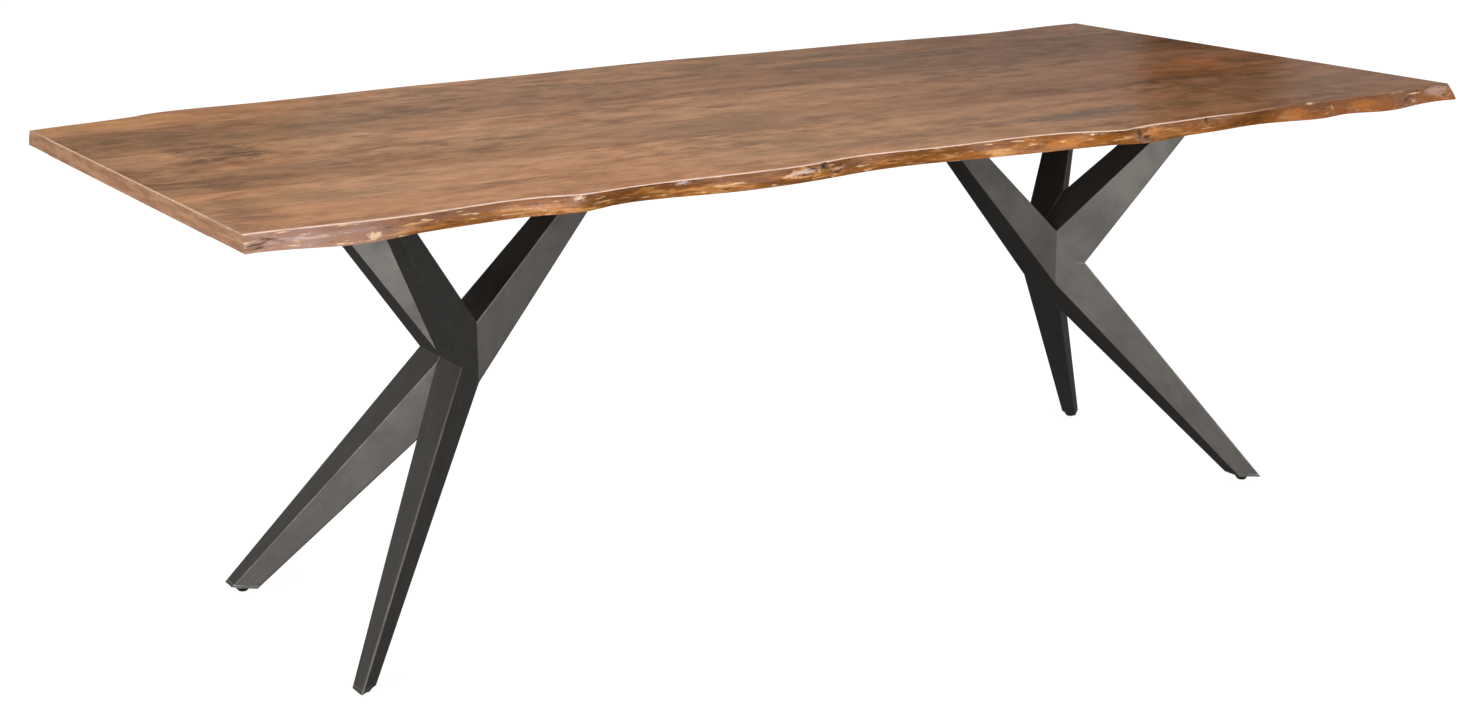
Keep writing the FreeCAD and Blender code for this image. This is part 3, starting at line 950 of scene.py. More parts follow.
@dataclass(frozen=True)
class PlasticFinish:
    """Black moulded plastic on the glide pads."""

    name: str = "moulded_black_plastic"
    black: Colour = linear(26, 25, 26)
    scuffed: Colour = linear(74, 73, 72)
    cloud_size: float = 90.0
    cloud_share: float = 0.2
    wear_width: float = 0.8 * MM
    wear_share: float = 0.5
    roughness: Range = (0.42, 0.6)
    speck_strength: float = 0.3
    speck_height: float = 0.1 * MM

    def material(self) -> bpy.types.Material:
        """Builds the plastic.

        Returns:
            A black, finely textured material with scuffed edges.
        """
        material, graph, spot, shader = new_material(self.name)
        clouds = Mottle().place(graph, Vector=spot, Size=self.cloud_size)
        wear = EdgeWearAndHighlight().place(graph, Vector=spot, Width=self.wear_width)["Mask"]
        tone = graph.mix(graph.product(clouds["Cloud"], self.cloud_share), self.black, self.scuffed)
        graph.join(shader, {
            "Base Color": graph.mix(graph.product(wear, self.wear_share), tone, self.scuffed),
            "Roughness": graph.spread(clouds["Speck"], *UNIT, *self.roughness),
            "Normal": graph.bump(clouds["Speck"], self.speck_strength, self.speck_height),
        })
        return material


def pick(piece: Piece) -> None:
    """Makes one piece the only selected object and the active one."""
    bpy.ops.object.select_all(action="DESELECT")
    piece.select_set(True)
    bpy.context.view_layer.objects.active = piece


@contextmanager
def editing(piece: Piece) -> Iterator[None]:
    """Opens a piece in edit mode with nothing selected, and leaves it in object mode.

    Args:
        piece: The mesh object.

    Yields:
        Nothing, while the piece is in edit mode.
    """
    pick(piece)
    bpy.ops.object.mode_set(mode="EDIT")
    bpy.ops.mesh.select_all(action="DESELECT")
    yield
    bpy.ops.object.mode_set(mode="OBJECT")


def select(piece: Piece, what: Pick, test: Callable[..., bool]) -> int:
    """Selects, in edit mode, the points or edges that pass a test.

    Args:
        piece: The mesh object.
        what: Whether points or edges are looked at.
        test: Takes a point or an edge.

    Returns:
        How many were selected.
    """
    bpy.ops.mesh.select_mode(type=what.value)
    bpy.ops.mesh.select_all(action="DESELECT")
    shape = bmesh.from_edit_mesh(piece.data)
    chosen = [part for part in (shape.verts if what is Pick.POINTS else shape.edges) if test(part)]
    for part in chosen:
        part.select_set(True)
    bmesh.update_edit_mesh(piece.data)
    return len(chosen)


def lies_at(edge: Edge, axis: int, value: float) -> bool:
    """Tells whether both ends of an edge lie at one value of an axis."""
    return all(abs(point.co[axis] - value) < IN_LINE for point in edge.verts)


def merge_all() -> None:
    """Selects the whole mesh, in edit mode, and merges its doubles."""
    bpy.ops.mesh.select_all(action="SELECT")
    bpy.ops.mesh.remove_doubles(threshold=TOUCHING)


def named(name: str) -> Piece:
    """Names the object that was just added and puts its place in its mesh.

    Args:
        name: The name of the object and its mesh.

    Returns:
        The object.
    """
    piece = bpy.context.object
    piece.name = name
    piece.data.name = name
    pick(piece)
    bpy.ops.object.transform_apply(location=True, rotation=True, scale=True)
    return piece


def use_modifier(piece: Piece, kind: str, **settings: object) -> None:
    """Adds a modifier, sets it and applies it.

    Args:
        piece: The mesh object.
        kind: The modifier's type.
        settings: Its properties.
    """
    pick(piece)
    modifier = piece.modifiers.new(kind.lower(), kind)
    for name, value in settings.items():
        setattr(modifier, name, value)
    bpy.ops.object.modifier_apply(modifier=modifier.name)


def close_up(piece: Piece, angle: float = math.radians(35.0)) -> None:
    """Merges doubles, turns the faces outwards and smooths the shading.

    Args:
        piece: The mesh object.
        angle: The turn between faces above which an edge stays sharp.
    """
    with editing(piece):
        merge_all()
        bpy.ops.mesh.normals_make_consistent(inside=False)
    pick(piece)
    bpy.ops.object.shade_smooth_by_angle(angle=angle)


def turned(name: str, rings: Sequence[Range], sides: int = 48) -> Piece:
    """Turns a round piece about Z at the origin, as on a lathe.

    Args:
        name: The piece's name.
        rings: The radius and height of each corner of its outline, in order. An outline that comes back to
            its start makes a ring, and any other is closed across at both ends.
        sides: How many flats stand for the round.

    Returns:
        The piece.
    """
    radius, level = rings[0]
    bpy.ops.mesh.primitive_circle_add(vertices=sides, radius=radius, fill_type="NOTHING",
                                      location=(0.0, 0.0, level))
    piece = named(name)
    with editing(piece):
        bpy.ops.mesh.select_mode(type=Pick.EDGES.value)
        bpy.ops.mesh.select_all(action="SELECT")
        for next_radius, next_level in rings[1:]:
            rise = (0.0, 0.0, next_level - level)
            bpy.ops.mesh.extrude_edges_move(TRANSFORM_OT_translate={"value": rise})
            share = next_radius / radius
            bpy.ops.transform.resize(value=(share, share, 1.0), center_override=(0.0, 0.0, next_level))
            radius, level = next_radius, next_level
        merge_all()
        bpy.ops.mesh.fill_holes(sides=0)
    close_up(piece)
    return piece


def combine(piece: Piece, other: Piece, joint: Joint) -> None:
    """Joins or intersects a piece with another one, which is used up.

    Args:
        piece: The piece that changes.
        other: The closed mesh that changes it.
        joint: The way of joining.
    """
    use_modifier(piece, "BOOLEAN", object=other, operation=joint.value, solver="EXACT")
    bpy.data.objects.remove(other)


def copy_to(piece: Piece, site: Vector, name: str) -> Piece:
    """Copies a pattern, made at the origin, to its site.

    Args:
        piece: The pattern.
        site: Where the copy goes.
        name: The copy's name.

    Returns:
        The copy, with its own mesh.
    """
    pick(piece)
    bpy.ops.object.duplicate(linked=False)
    bpy.context.object.location = site
    return named(name)


def copies_at(piece: Piece, sites: Sequence[Vector], name: str) -> Piece:
    """Copies a pattern to each site and joins the copies.

    Args:
        piece: The pattern, made at the origin.
        sites: Where the copies go.
        name: The name of the joined piece.

    Returns:
        The joined piece.
    """
    made = [copy_to(piece, site, name) for site in sites]
    pick(made[0])
    for copy in made:
        copy.select_set(True)
    bpy.ops.object.join()
    return named(name)


def dress(piece: Piece, material: bpy.types.Material) -> None:
    """Gives a piece one finish all over.

    Args:
        piece: The mesh object.
        material: The finish.
    """
    piece.data.materials.clear()
    piece.data.materials.append(material)
    LOG.info("%s is dressed in %s", piece.name, material.name)


def hand_over(piece: Piece, body: str, slot: Slot, *nodes: str) -> None:
    """Rides a finished piece on its body and lets it stand for its nodes.

    Args:
        piece: The finished piece.
        body: The body that it moves with.
        slot: Not used.
        nodes: The nodes that it stands for.
    """
    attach(piece, body)
    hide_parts(*nodes)
    LOG.info("%s rides on %s in place of %s", piece.name, body, ", ".join(nodes))


def middles_of(node: str, gap: float) -> list[Vector]:
    """Finds the middles of the separate solids in one node.

    Args:
        node: The node's name.
        gap: How far apart in plan two solids are at least.

    Returns:
        The middle of each solid's box.
    """
    groups: list[list[Vector]] = []
    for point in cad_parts[node].data.vertices:
        for group in groups:
            if (group[0].xy - point.co.xy).length < gap:
                group.append(point.co)
                break
        else:
            groups.append([point.co])
    middles = []
    for group in groups:
        low = Vector(map(min, *group))
        high = Vector(map(max, *group))
        middles.append((low + high) / 2)
    return middles


@dataclass(frozen=True)
class Lean:
    """A stretch of live edge that lies further in, more so at the arris than at the underside."""

    start: float
    full: float
    depth: float
    foot: float = 0.0

    def share(self, along: float, level: float) -> float:
        """Works out how much of the depth a point of the edge takes.

        Args:
            along: The point's X.
            level: Its height, from 0 at the underside to 1 at the arris.

        Returns:
            The share, from 0 to 1.
        """
        reach = min(1.0, max(0.0, (along - self.start) / (self.full - self.start)))
        eased = reach * reach * (3.0 - 2.0 * reach)
        return eased * (self.foot + (1.0 - self.foot) * level)


@dataclass(frozen=True)
class BarkLayer:
    """One size of unevenness in the bark-side face."""

    size: float
    stretch: float
    crease: Crease
    depth: float
    detail: int = 3


@dataclass
class LiveEdgeBoard:
    """An outer board of the top, whose long outer edge keeps the wave of the tree."""

    row: Row
    finish: WoodFinish
    leans: tuple[Lean, ...]
    layers: tuple[BarkLayer, ...] = (
        BarkLayer(70.0 * MM, 3.2, Crease.SOFT, 1.6 * MM),
        BarkLayer(22.0 * MM, 3.0, Crease.HARD, 1.5 * MM),
        BarkLayer(9.0 * MM, 3.4, Crease.HARD, 0.8 * MM),
    )
    arris_calm: float = 0.8
    column: float = 2.2 * MM
    levels: int = 17
    stand_off: float = 1.0 * MM
    short_of_end: float = 2.0 * MM
    inset: float = 0.05 * MM
    smooth_factor: float = 0.5
    smooth_passes: int = 6
    shoulder: float = 5.0 * MM
    seam_margin: float = 50.0 * MM
    scar_line: float = 1.0 * MM
    arris: float = 2.2 * MM
    arris_steps: int = 3
    arris_angle: float = math.radians(40.0)
    end_ease: float = 1.2 * MM
    shortest_eased: float = 1.0 * MM
    low: Vector = field(init=False)
    high: Vector = field(init=False)

    def __post_init__(self) -> None:
        """Reads the board's box from its node."""
        self.low, self.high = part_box(self.node)

    @property
    def node(self) -> str:
        """The board's node."""
        return f"{self.row.value}_live_edge_board"

    @property
    def outer(self) -> float:
        """The Y of the outermost point of the edge."""
        return self.low.y if self.row is Row.FRONT else self.high.y

    @property
    def seam(self) -> float:
        """The Y of the glued seam."""
        return self.high.y if self.row is Row.FRONT else self.low.y

    @property
    def height(self) -> float:
        """The board's thickness."""
        return self.high.z - self.low.z

    @property
    def middle(self) -> Vector:
        """The middle of the board's box."""
        return (self.low + self.high) / 2

    @property
    def ends(self) -> Range:
        """The X of the two sawn ends."""
        return self.low.x, self.high.x

    def build(self) -> Piece:
        """Models the board, dresses it and puts it in its node's place.

        Returns:
            The finished board.
        """
        piece = self.edge_strip()
        self.wrap(piece)
        for lean in self.leans:
            self.lay_back(piece, lean)
        self.roughen(piece)
        self.fill_out(piece)
        self.ease(piece)
        for scar in self.finish.scars:
            if scar.depth:
                self.press(piece, scar)
        close_up(piece)
        use_modifier(piece, "WEIGHTED_NORMAL", keep_sharp=True)
        dress(piece, self.finish.material())
        hand_over(piece, TABLE_BODY, Slot.WOOD, self.node)
        return piece

    def edge_strip(self) -> Piece:
        """Makes a fine upright grid just outside the board.

        Returns:
            The grid, a little smaller than the board so that every point has timber behind it.
        """
        length = self.high.x - self.low.x - 2.0 * self.short_of_end
        bpy.ops.mesh.primitive_grid_add(
            x_subdivisions=round(length / self.column), y_subdivisions=self.levels, size=1.0,
            location=(self.middle.x, self.outer + self.row.outward * self.stand_off, self.middle.z),
            rotation=(math.radians(90.0), 0.0, 0.0))
        bpy.context.object.scale = (length, self.height - 2.0 * self.inset, 1.0)
        return named(f"{self.node}_slab")

    def weigh(self, piece: Piece, name: str, share: Callable[[float, float], float]) -> None:
        """Gives the edge's points weights in a vertex group.

        Args:
            piece: The board's edge.
            name: The group's name.
            share: Gives a point's weight from its X and its level, 0 at the underside and 1 at the arris.
        """
        group = piece.vertex_groups.new(name=name)
        for point in piece.data.vertices:
            level = (point.co.z - self.low.z) / self.height
            group.add([point.index], share(point.co.x, level), "REPLACE")

    def push_in(self, piece: Piece, group: str, depth: float, **settings: object) -> None:
        """Moves the edge inwards by the weights of a vertex group.

        Args:
            piece: The board's edge.
            group: The group's name.
            depth: How far a point of full weight moves.
            settings: Further properties of the Displace modifier, such as its texture.
        """
        use_modifier(piece, "DISPLACE", direction="Y", mid_level=0.0, strength=-self.row.outward * depth,
                     vertex_group=group, **settings)

    def wrap(self, piece: Piece) -> None:
        """Lays the grid on the sawn wave of the node, smooths it and runs it to the ends.

        Args:
            piece: The grid.
        """
        front = self.row is Row.FRONT
        near = 1.5 * self.short_of_end
        use_modifier(piece, "SHRINKWRAP", target=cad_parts[self.node], wrap_method="PROJECT",
                     use_project_y=True, use_positive_direction=front, use_negative_direction=not front)
        use_modifier(piece, "SMOOTH", factor=self.smooth_factor, iterations=self.smooth_passes,
                     use_x=False, use_y=True, use_z=False)
        with editing(piece):
            for end, way in zip(self.ends, (-1.0, 1.0)):
                select(piece, Pick.POINTS, lambda point: abs(point.co.x - end) < near)
                bpy.ops.transform.translate(value=(way * self.short_of_end, 0.0, 0.0))

    def lay_back(self, piece: Piece, lean: Lean) -> None:
        """Moves a leaning stretch of the edge inwards.

        Args:
            piece: The board's edge.
            lean: The stretch.
        """
        self.weigh(piece, "lean", lean.share)
        self.push_in(piece, "lean", lean.depth)
        piece.vertex_groups.remove(piece.vertex_groups["lean"])

    def roughen(self, piece: Piece) -> None:
        """Cuts lumps and fibres into the outer face, always inwards and less towards the arris.

        Args:
            piece: The board's edge.
        """
        self.weigh(piece, "rough", lambda _, level: 1.0 - self.arris_calm * max(0.0, 2.0 * level - 1.0) ** 2)
        bpy.ops.object.empty_add(location=ORIGIN)
        ruler = bpy.context.object
        for layer in self.layers:
            ruler.scale = (layer.stretch, 1.0, 1.0)
            bpy.context.view_layer.update()
            lumps = bpy.data.textures.new("lumps", "CLOUDS")
            lumps.noise_type = layer.crease.value
            lumps.noise_scale = layer.size
            lumps.noise_depth = layer.detail
            self.push_in(piece, "rough", layer.depth, texture=lumps, texture_coords="OBJECT",
                         texture_coords_object=ruler)
            bpy.data.textures.remove(lumps)
        bpy.data.objects.remove(ruler)

    def fill_out(self, piece: Piece) -> None:
        """Draws the edge back to the glued seam and closes the board.

        Args:
            piece: The board's edge.
        """
        step = {"value": (0.0, -self.row.outward * self.shoulder, 0.0)}
        with editing(piece):
            for level in (self.high.z, self.low.z):
                select(piece, Pick.EDGES, lambda edge: edge.is_boundary and self.runs_along(edge)
                       and (edge.verts[0].co.z > self.middle.z) == (level > self.middle.z))
                bpy.ops.mesh.extrude_edges_move(TRANSFORM_OT_translate=step)
                bpy.ops.transform.resize(value=(1.0, 1.0, 0.0), center_override=(0.0, 0.0, level))
                bpy.ops.mesh.extrude_edges_move(TRANSFORM_OT_translate=step)
                bpy.ops.transform.resize(value=(1.0, 0.0, 1.0), center_override=(0.0, self.seam, 0.0))
            select(piece, Pick.EDGES, lambda edge: lies_at(edge, Y, self.seam))
            bpy.ops.mesh.bridge_edge_loops()
            for end in self.ends:
                select(piece, Pick.EDGES, lambda edge: lies_at(edge, X, end))
                bpy.ops.mesh.edge_face_add()

    def runs_along(self, edge: Edge) -> bool:
        """Tells whether an edge runs along the board, short of the seam."""
        return not lies_at(edge, X, edge.verts[0].co.x) and not lies_at(edge, Y, self.seam)

    def is_arris(self, edge: Edge) -> bool:
        """Tells whether an edge belongs to the long upper arris of the outer face."""
        above = min(point.co.z for point in edge.verts) > self.middle.z
        return above and edge.calc_face_angle(0.0) > self.arris_angle and self.runs_along(edge)

    def is_end_rim(self, edge: Edge, end: float) -> bool:
        """Tells whether an edge runs across the top or underside at a sawn end.

        Args:
            edge: The edge.
            end: The end's X.

        Returns:
            Whether it does, and is long enough to be eased.
        """
        flat = lies_at(edge, Z, self.low.z) or lies_at(edge, Z, self.high.z)
        across = abs(edge.verts[0].co.y - edge.verts[1].co.y)
        return lies_at(edge, X, end) and flat and across > self.shortest_eased

    def ease(self, piece: Piece) -> None:
        """Rounds the long upper arris of the outer face and chamfers the sawn ends.

        Args:
            piece: The closed board.
        """
        with editing(piece):
            select(piece, Pick.EDGES, self.is_arris)
            bpy.ops.mesh.bevel(offset=self.arris, offset_type="OFFSET", segments=self.arris_steps,
                               affect="EDGES")
            for end in self.ends:
                select(piece, Pick.EDGES, lambda edge: self.is_end_rim(edge, end))
                bpy.ops.mesh.bevel(offset=self.end_ease, offset_type="OFFSET", segments=1, affect="EDGES")
            if select(piece, Pick.POINTS, lambda point: point.co.z > self.high.z):
                bpy.ops.transform.resize(value=(1.0, 1.0, 0.0), center_override=(0.0, 0.0, self.high.z))

    def press(self, piece: Piece, scar: Scar) -> None:
        """Presses a scar into the outer face.

        Args:
            piece: The board.
            scar: The scar, whose level runs from 0 at the underside to 1 at the arris.
        """

        def near(point: bmesh.types.BMVert) -> bool:
            """Tells whether a point lies on the scar's line."""
            offset = point.co.x - scar.along
            line = self.low.z + scar.level * self.height + scar.slant * offset
            outside = abs(point.co.y - self.seam) > self.seam_margin
            return outside and abs(offset) <= scar.length / 2 and abs(point.co.z - line) < self.scar_line

        with editing(piece):
            if select(piece, Pick.POINTS, near):
                bpy.ops.transform.translate(
                    value=(0.0, -self.row.outward * scar.depth, -scar.drop), use_proportional_edit=True,
                    proportional_edit_falloff="SMOOTH", proportional_size=scar.reach)


@dataclass
class TableTop:
    """Six edge-glued boards with natural outer edges."""

    nodes: tuple[str, ...] = ("front_live_edge_board", "front_inner_board", "front_middle_board",
                              "rear_middle_board", "rear_inner_board", "rear_live_edge_board")
    gains: tuple[float, ...] = (0.95, 0.97, 0.76, 0.89, 0.67, 0.83)
    warmths: tuple[float, ...] = (0.3, 0.28, 0.36, 0.22, 0.3, 0.34)
    grain_step: Place = (2.7, 0.83, 0.31)
    patches: tuple[Patch, ...] = (
        Patch((0.36, -0.385), (0.17, 0.040), linear(122, 98, 84), 0.75),
        Patch((0.88, -0.110), (0.21, 0.120), linear(168, 106, 62), 0.65),
        Patch((0.62, -0.130), (0.16, 0.060), linear(150, 108, 76), 0.6),
        Patch((1.10, 0.150), (0.12, 0.110), linear(92, 64, 46), 0.7),
        Patch((1.08, 0.420), (0.08, 0.090), linear(152, 118, 92), 0.6),
        Patch((-0.96, 0.430), (0.24, 0.065), linear(208, 152, 98), 0.7),
        Patch((-1.00, 0.235), (0.19, 0.095), linear(142, 108, 76), 0.75),
        Patch((-0.94, 0.085), (0.085, 0.095), linear(116, 84, 60), 0.95),
        Patch((-1.02, -0.150), (0.14, 0.050), linear(146, 106, 80), 0.6),
        Patch((-1.10, -0.400), (0.09, 0.120), linear(150, 110, 84), 0.7),
        Patch((-1.08, 0.020), (0.09, 0.140), linear(150, 110, 82), 0.6),
        *(Patch(knot, (0.03, 0.012), linear(96, 66, 48), 0.6)
          for knot in ((-0.43, 0.340), (-0.085, 0.019), (0.140, 0.417))),
    )
    # The pale cream scars at -0.950, -0.885, 1.014 and 1.024 are painted glints of the lacquer; the others
    # are knots, cracks and stains.
    front_scars: tuple[Scar, ...] = (
        Scar(-0.710, 0.40, 0.080, 20.0 * MM, tone=linear(160, 106, 66), rise=10.0 * MM),
        Scar(0.250, 0.42, 0.100, 22.0 * MM, tone=linear(184, 112, 36), rise=11.0 * MM),
        Scar(0.400, 0.50, 0.030, 14.0 * MM, tone=linear(180, 116, 54), rise=10.0 * MM),
        Scar(0.480, 0.45, 0.060, 16.0 * MM, tone=linear(132, 82, 46), rise=12.0 * MM),
        Scar(0.640, 0.55, 0.040, 16.0 * MM, tone=linear(92, 56, 30), rise=12.0 * MM),
        Scar(0.722, 0.42, 0.030, 16.0 * MM, tone=linear(176, 108, 44), rise=11.0 * MM),
        Scar(0.790, 0.60, 0.030, 18.0 * MM, tone=linear(98, 60, 32), rise=12.0 * MM),
        Scar(0.885, 0.50, 0.040, 14.0 * MM, tone=linear(168, 102, 44), rise=10.0 * MM),
        Scar(0.985, 0.60, 0.040, 18.0 * MM, tone=linear(118, 84, 62), rise=13.0 * MM),
        Scar(1.090, 0.60, 0.030, 16.0 * MM, tone=linear(176, 142, 126), rise=12.0 * MM),
        Scar(-1.104, 0.40, 0.026, 1.6 * MM, 1.6 * MM, slant=0.12, tone=linear(84, 58, 48), rise=1.4 * MM),
        Scar(-1.086, 0.60, 0.022, 1.6 * MM, 1.4 * MM, slant=-0.2, tone=linear(92, 64, 52), rise=1.2 * MM),
        Scar(-1.098, 0.25, 0.012, 2.2 * MM, 1.4 * MM, slant=0.3, tone=linear(100, 66, 50), rise=1.6 * MM),
        Scar(-1.040, 0.50, 0.070, 2.0 * MM, 1.2 * MM, slant=0.05, tone=linear(186, 158, 146), rise=3.0 * MM),
        Scar(-0.950, 0.30, 0.016, 5.0 * MM, 1.6 * MM, slant=0.2, tone=linear(226, 192, 160), rise=5.0 * MM),
        Scar(-0.885, 0.55, 0.06, 2.0 * MM, 1.4 * MM, slant=-0.05, tone=linear(206, 158, 108), rise=2.0 * MM),
        Scar(-0.640, 0.80, 0.010, 4.0 * MM, 1.6 * MM, 0.8 * MM, tone=linear(224, 192, 166), rise=5.0 * MM),
        Scar(-0.600, 0.40, 0.040, 2.0 * MM, 1.2 * MM, slant=0.1, tone=linear(208, 160, 104), rise=1.8 * MM),
        Scar(-0.468, 0.84, 0.018, 4.0 * MM, 2.0 * MM, 1.0 * MM, tone=linear(214, 190, 182), rise=3.4 * MM),
        Scar(-0.262, 0.62, 0.050, 5.0 * MM, 2.6 * MM, slant=-0.1, tone=linear(206, 182, 168), rise=5.5 * MM),
        Scar(-0.258, 0.42, 0.036, 2.4 * MM, 2.6 * MM, slant=-0.1, tone=linear(66, 44, 32), rise=1.5 * MM),
        Scar(-0.246, 0.70, 0.020, 2.2 * MM, 2.4 * MM, slant=-0.3, tone=linear(78, 54, 42), rise=1.2 * MM),
        Scar(-0.222, 0.80, 0.004, 8.0 * MM, 4.4 * MM, 2.6 * MM, tone=linear(56, 36, 26), rise=7.0 * MM),
        Scar(-0.200, 0.50, 0.026, 3.4 * MM, 2.6 * MM, slant=0.25, tone=linear(204, 168, 140), rise=3.0 * MM),
        Scar(-0.198, 0.27, 0.026, 2.4 * MM, 2.2 * MM, slant=0.25, tone=linear(66, 42, 28), rise=1.5 * MM),
        Scar(0.362, 0.55, 0.002, 3.4 * MM, 4.0 * MM, 1.4 * MM, tone=linear(48, 28, 18), rise=12.0 * MM),
        Scar(0.376, 0.35, 0.012, 2.6 * MM, 2.0 * MM, tone=linear(74, 46, 28), rise=5.0 * MM),
        Scar(0.520, 0.85, 0.004, 4.0 * MM, 3.0 * MM, 1.5 * MM, tone=linear(70, 44, 28), rise=8.0 * MM),
        Scar(0.765, 0.93, 0.016, 3.0 * MM, 1.2 * MM, tone=linear(214, 178, 136), rise=2.0 * MM),
        Scar(0.812, 0.55, 0.001, 2.0 * MM, 1.0 * MM, tone=linear(206, 160, 100), rise=5.0 * MM),
        Scar(1.000, 0.45, 0.020, 3.4 * MM, 3.0 * MM, slant=0.2, tone=linear(82, 50, 30), rise=3.0 * MM),
        Scar(1.024, 0.70, 0.030, 2.4 * MM, 1.8 * MM, slant=0.25, tone=linear(232, 204, 172), rise=1.6 * MM),
        Scar(1.014, 0.25, 0.012, 2.4 * MM, 1.4 * MM, slant=0.2, tone=linear(226, 192, 152), rise=1.8 * MM),
        Scar(1.080, 0.65, 0.050, 5.0 * MM, 2.0 * MM, slant=-0.05, tone=linear(170, 136, 120), rise=7.0 * MM),
    )
    rear_scars: tuple[Scar, ...] = (
        Scar(-0.55, 0.55, 0.020, 9.0 * MM, 4.0 * MM),
        Scar(0.36, 0.60, 0.030, 10.0 * MM, 5.0 * MM),
        Scar(0.92, 0.45, 0.014, 8.0 * MM, 4.0 * MM),
    )
    front_leans: tuple[Lean, ...] = (Lean(0.86, 1.12, 17.0 * MM),)
    rear_leans: tuple[Lean, ...] = (Lean(-0.925, -0.935, 4.0 * MM, 1.0), Lean(-0.94, -1.15, 14.0 * MM, 0.4))

    def finish_of(self, index: int, scars: tuple[Scar, ...] = ()) -> WoodFinish:
        """Chooses the timber of one board.

        Args:
            index: The board's place from the front, from 0.
            scars: The scars in its edge.

        Returns:
            Its finish, with the patches that lie on it.
        """
        node = self.nodes[index]
        low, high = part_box(node)
        patches = tuple(patch for patch in self.patches if patch.lies_on(low.y, high.y))
        shift = tuple(step * index for step in self.grain_step)
        return WoodFinish(f"timber_of_{node}", shift, low.z, high.z, self.gains[index], self.warmths[index],
                          patches, scars)

    def build(self) -> list[Piece]:
        """Models the live-edge boards and dresses the sawn ones.

        Returns:
            The boards, from the front.
        """
        boards = [LiveEdgeBoard(Row.FRONT, self.finish_of(0, self.front_scars), self.front_leans).build()]
        for index, node in enumerate(self.nodes[1:-1], start=1):
            boards.append(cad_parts[node])
            dress(boards[-1], self.finish_of(index).material())
        finish = self.finish_of(len(boards), self.rear_scars)
        boards.append(LiveEdgeBoard(Row.REAR, finish, self.rear_leans).build())
        return boards


@dataclass
class Pedestal:
    """One steel pedestal: three arms and two legs from a hub, with plates and hidden nuts."""

    side: Side
    plated: bpy.types.Material
    arms: tuple[str, ...] = ("front_arm", "rear_arm")
    legs: tuple[str, ...] = ("front_leg", "rear_leg")
    inner_arm: str = "inner_arm"
    plates: tuple[str, ...] = ("front_foot_plate", "rear_foot_plate", "inner_mounting_plate",
                               "front_mounting_plate", "rear_mounting_plate")
    plate_brushing: Place = (1.0, 0.0, 0.0)
    hidden: tuple[str, ...] = ("threaded_inserts", "glide_nuts")
    hub_height: float = 80.0 * MM
    end_share: float = 1 / 8

    def node(self, name: str) -> str:
        """The full name of one of this pedestal's nodes."""
        return f"{self.side.value}_{name}"

    @property
    def members(self) -> list[str]:
        """The nodes of the arms and legs."""
        return [self.node(name) for name in (self.inner_arm, *self.arms, *self.legs)]

    def run_of(self, node: str) -> Vector:
        """Finds the direction that a member runs in.

        Args:
            node: The member's node.

        Returns:
            The direction from its lower end to its upper end, of length 1.
        """
        low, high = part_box(node)
        points = [point.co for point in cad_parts[node].data.vertices]
        reach = (high.z - low.z) * self.end_share
        ends = []
        for level in (low.z, high.z):
            near = [point for point in points if abs(point.z - level) < reach]
            ends.append(sum(near, Vector()) / len(near))
        return (ends[1] - ends[0]).normalized()

    def hub(self) -> Vector:
        """Finds the middle of the hub, between the legs' upper ends and the arms' lower ends.

        Returns:
            The mean of the members' points near that height.
        """
        legs = [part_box(self.node(name)) for name in self.legs]
        arms = [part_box(self.node(name)) for name in self.arms]
        level = (max(high.z for _, high in legs) + min(low.z for low, _ in arms)) / 2
        near = [point.co for node in self.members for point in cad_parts[node].data.vertices
                if abs(point.co.z - level) < self.hub_height]
        return sum(near, Vector()) / len(near)

    def build(self) -> None:
        """Dresses the steel."""
        hub = tuple(self.hub())
        for node in self.members:
            finish = GunmetalFinish(f"gunmetal_{node}", tuple(self.run_of(node)), hub)
            dress(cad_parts[node], finish.material())
        plates = GunmetalFinish(f"gunmetal_{self.side.value}_plates", self.plate_brushing, hub)
        for names, material in ((self.plates, plates.material()), (self.hidden, self.plated)):
            for name in names:
                dress(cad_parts[self.node(name)], material)


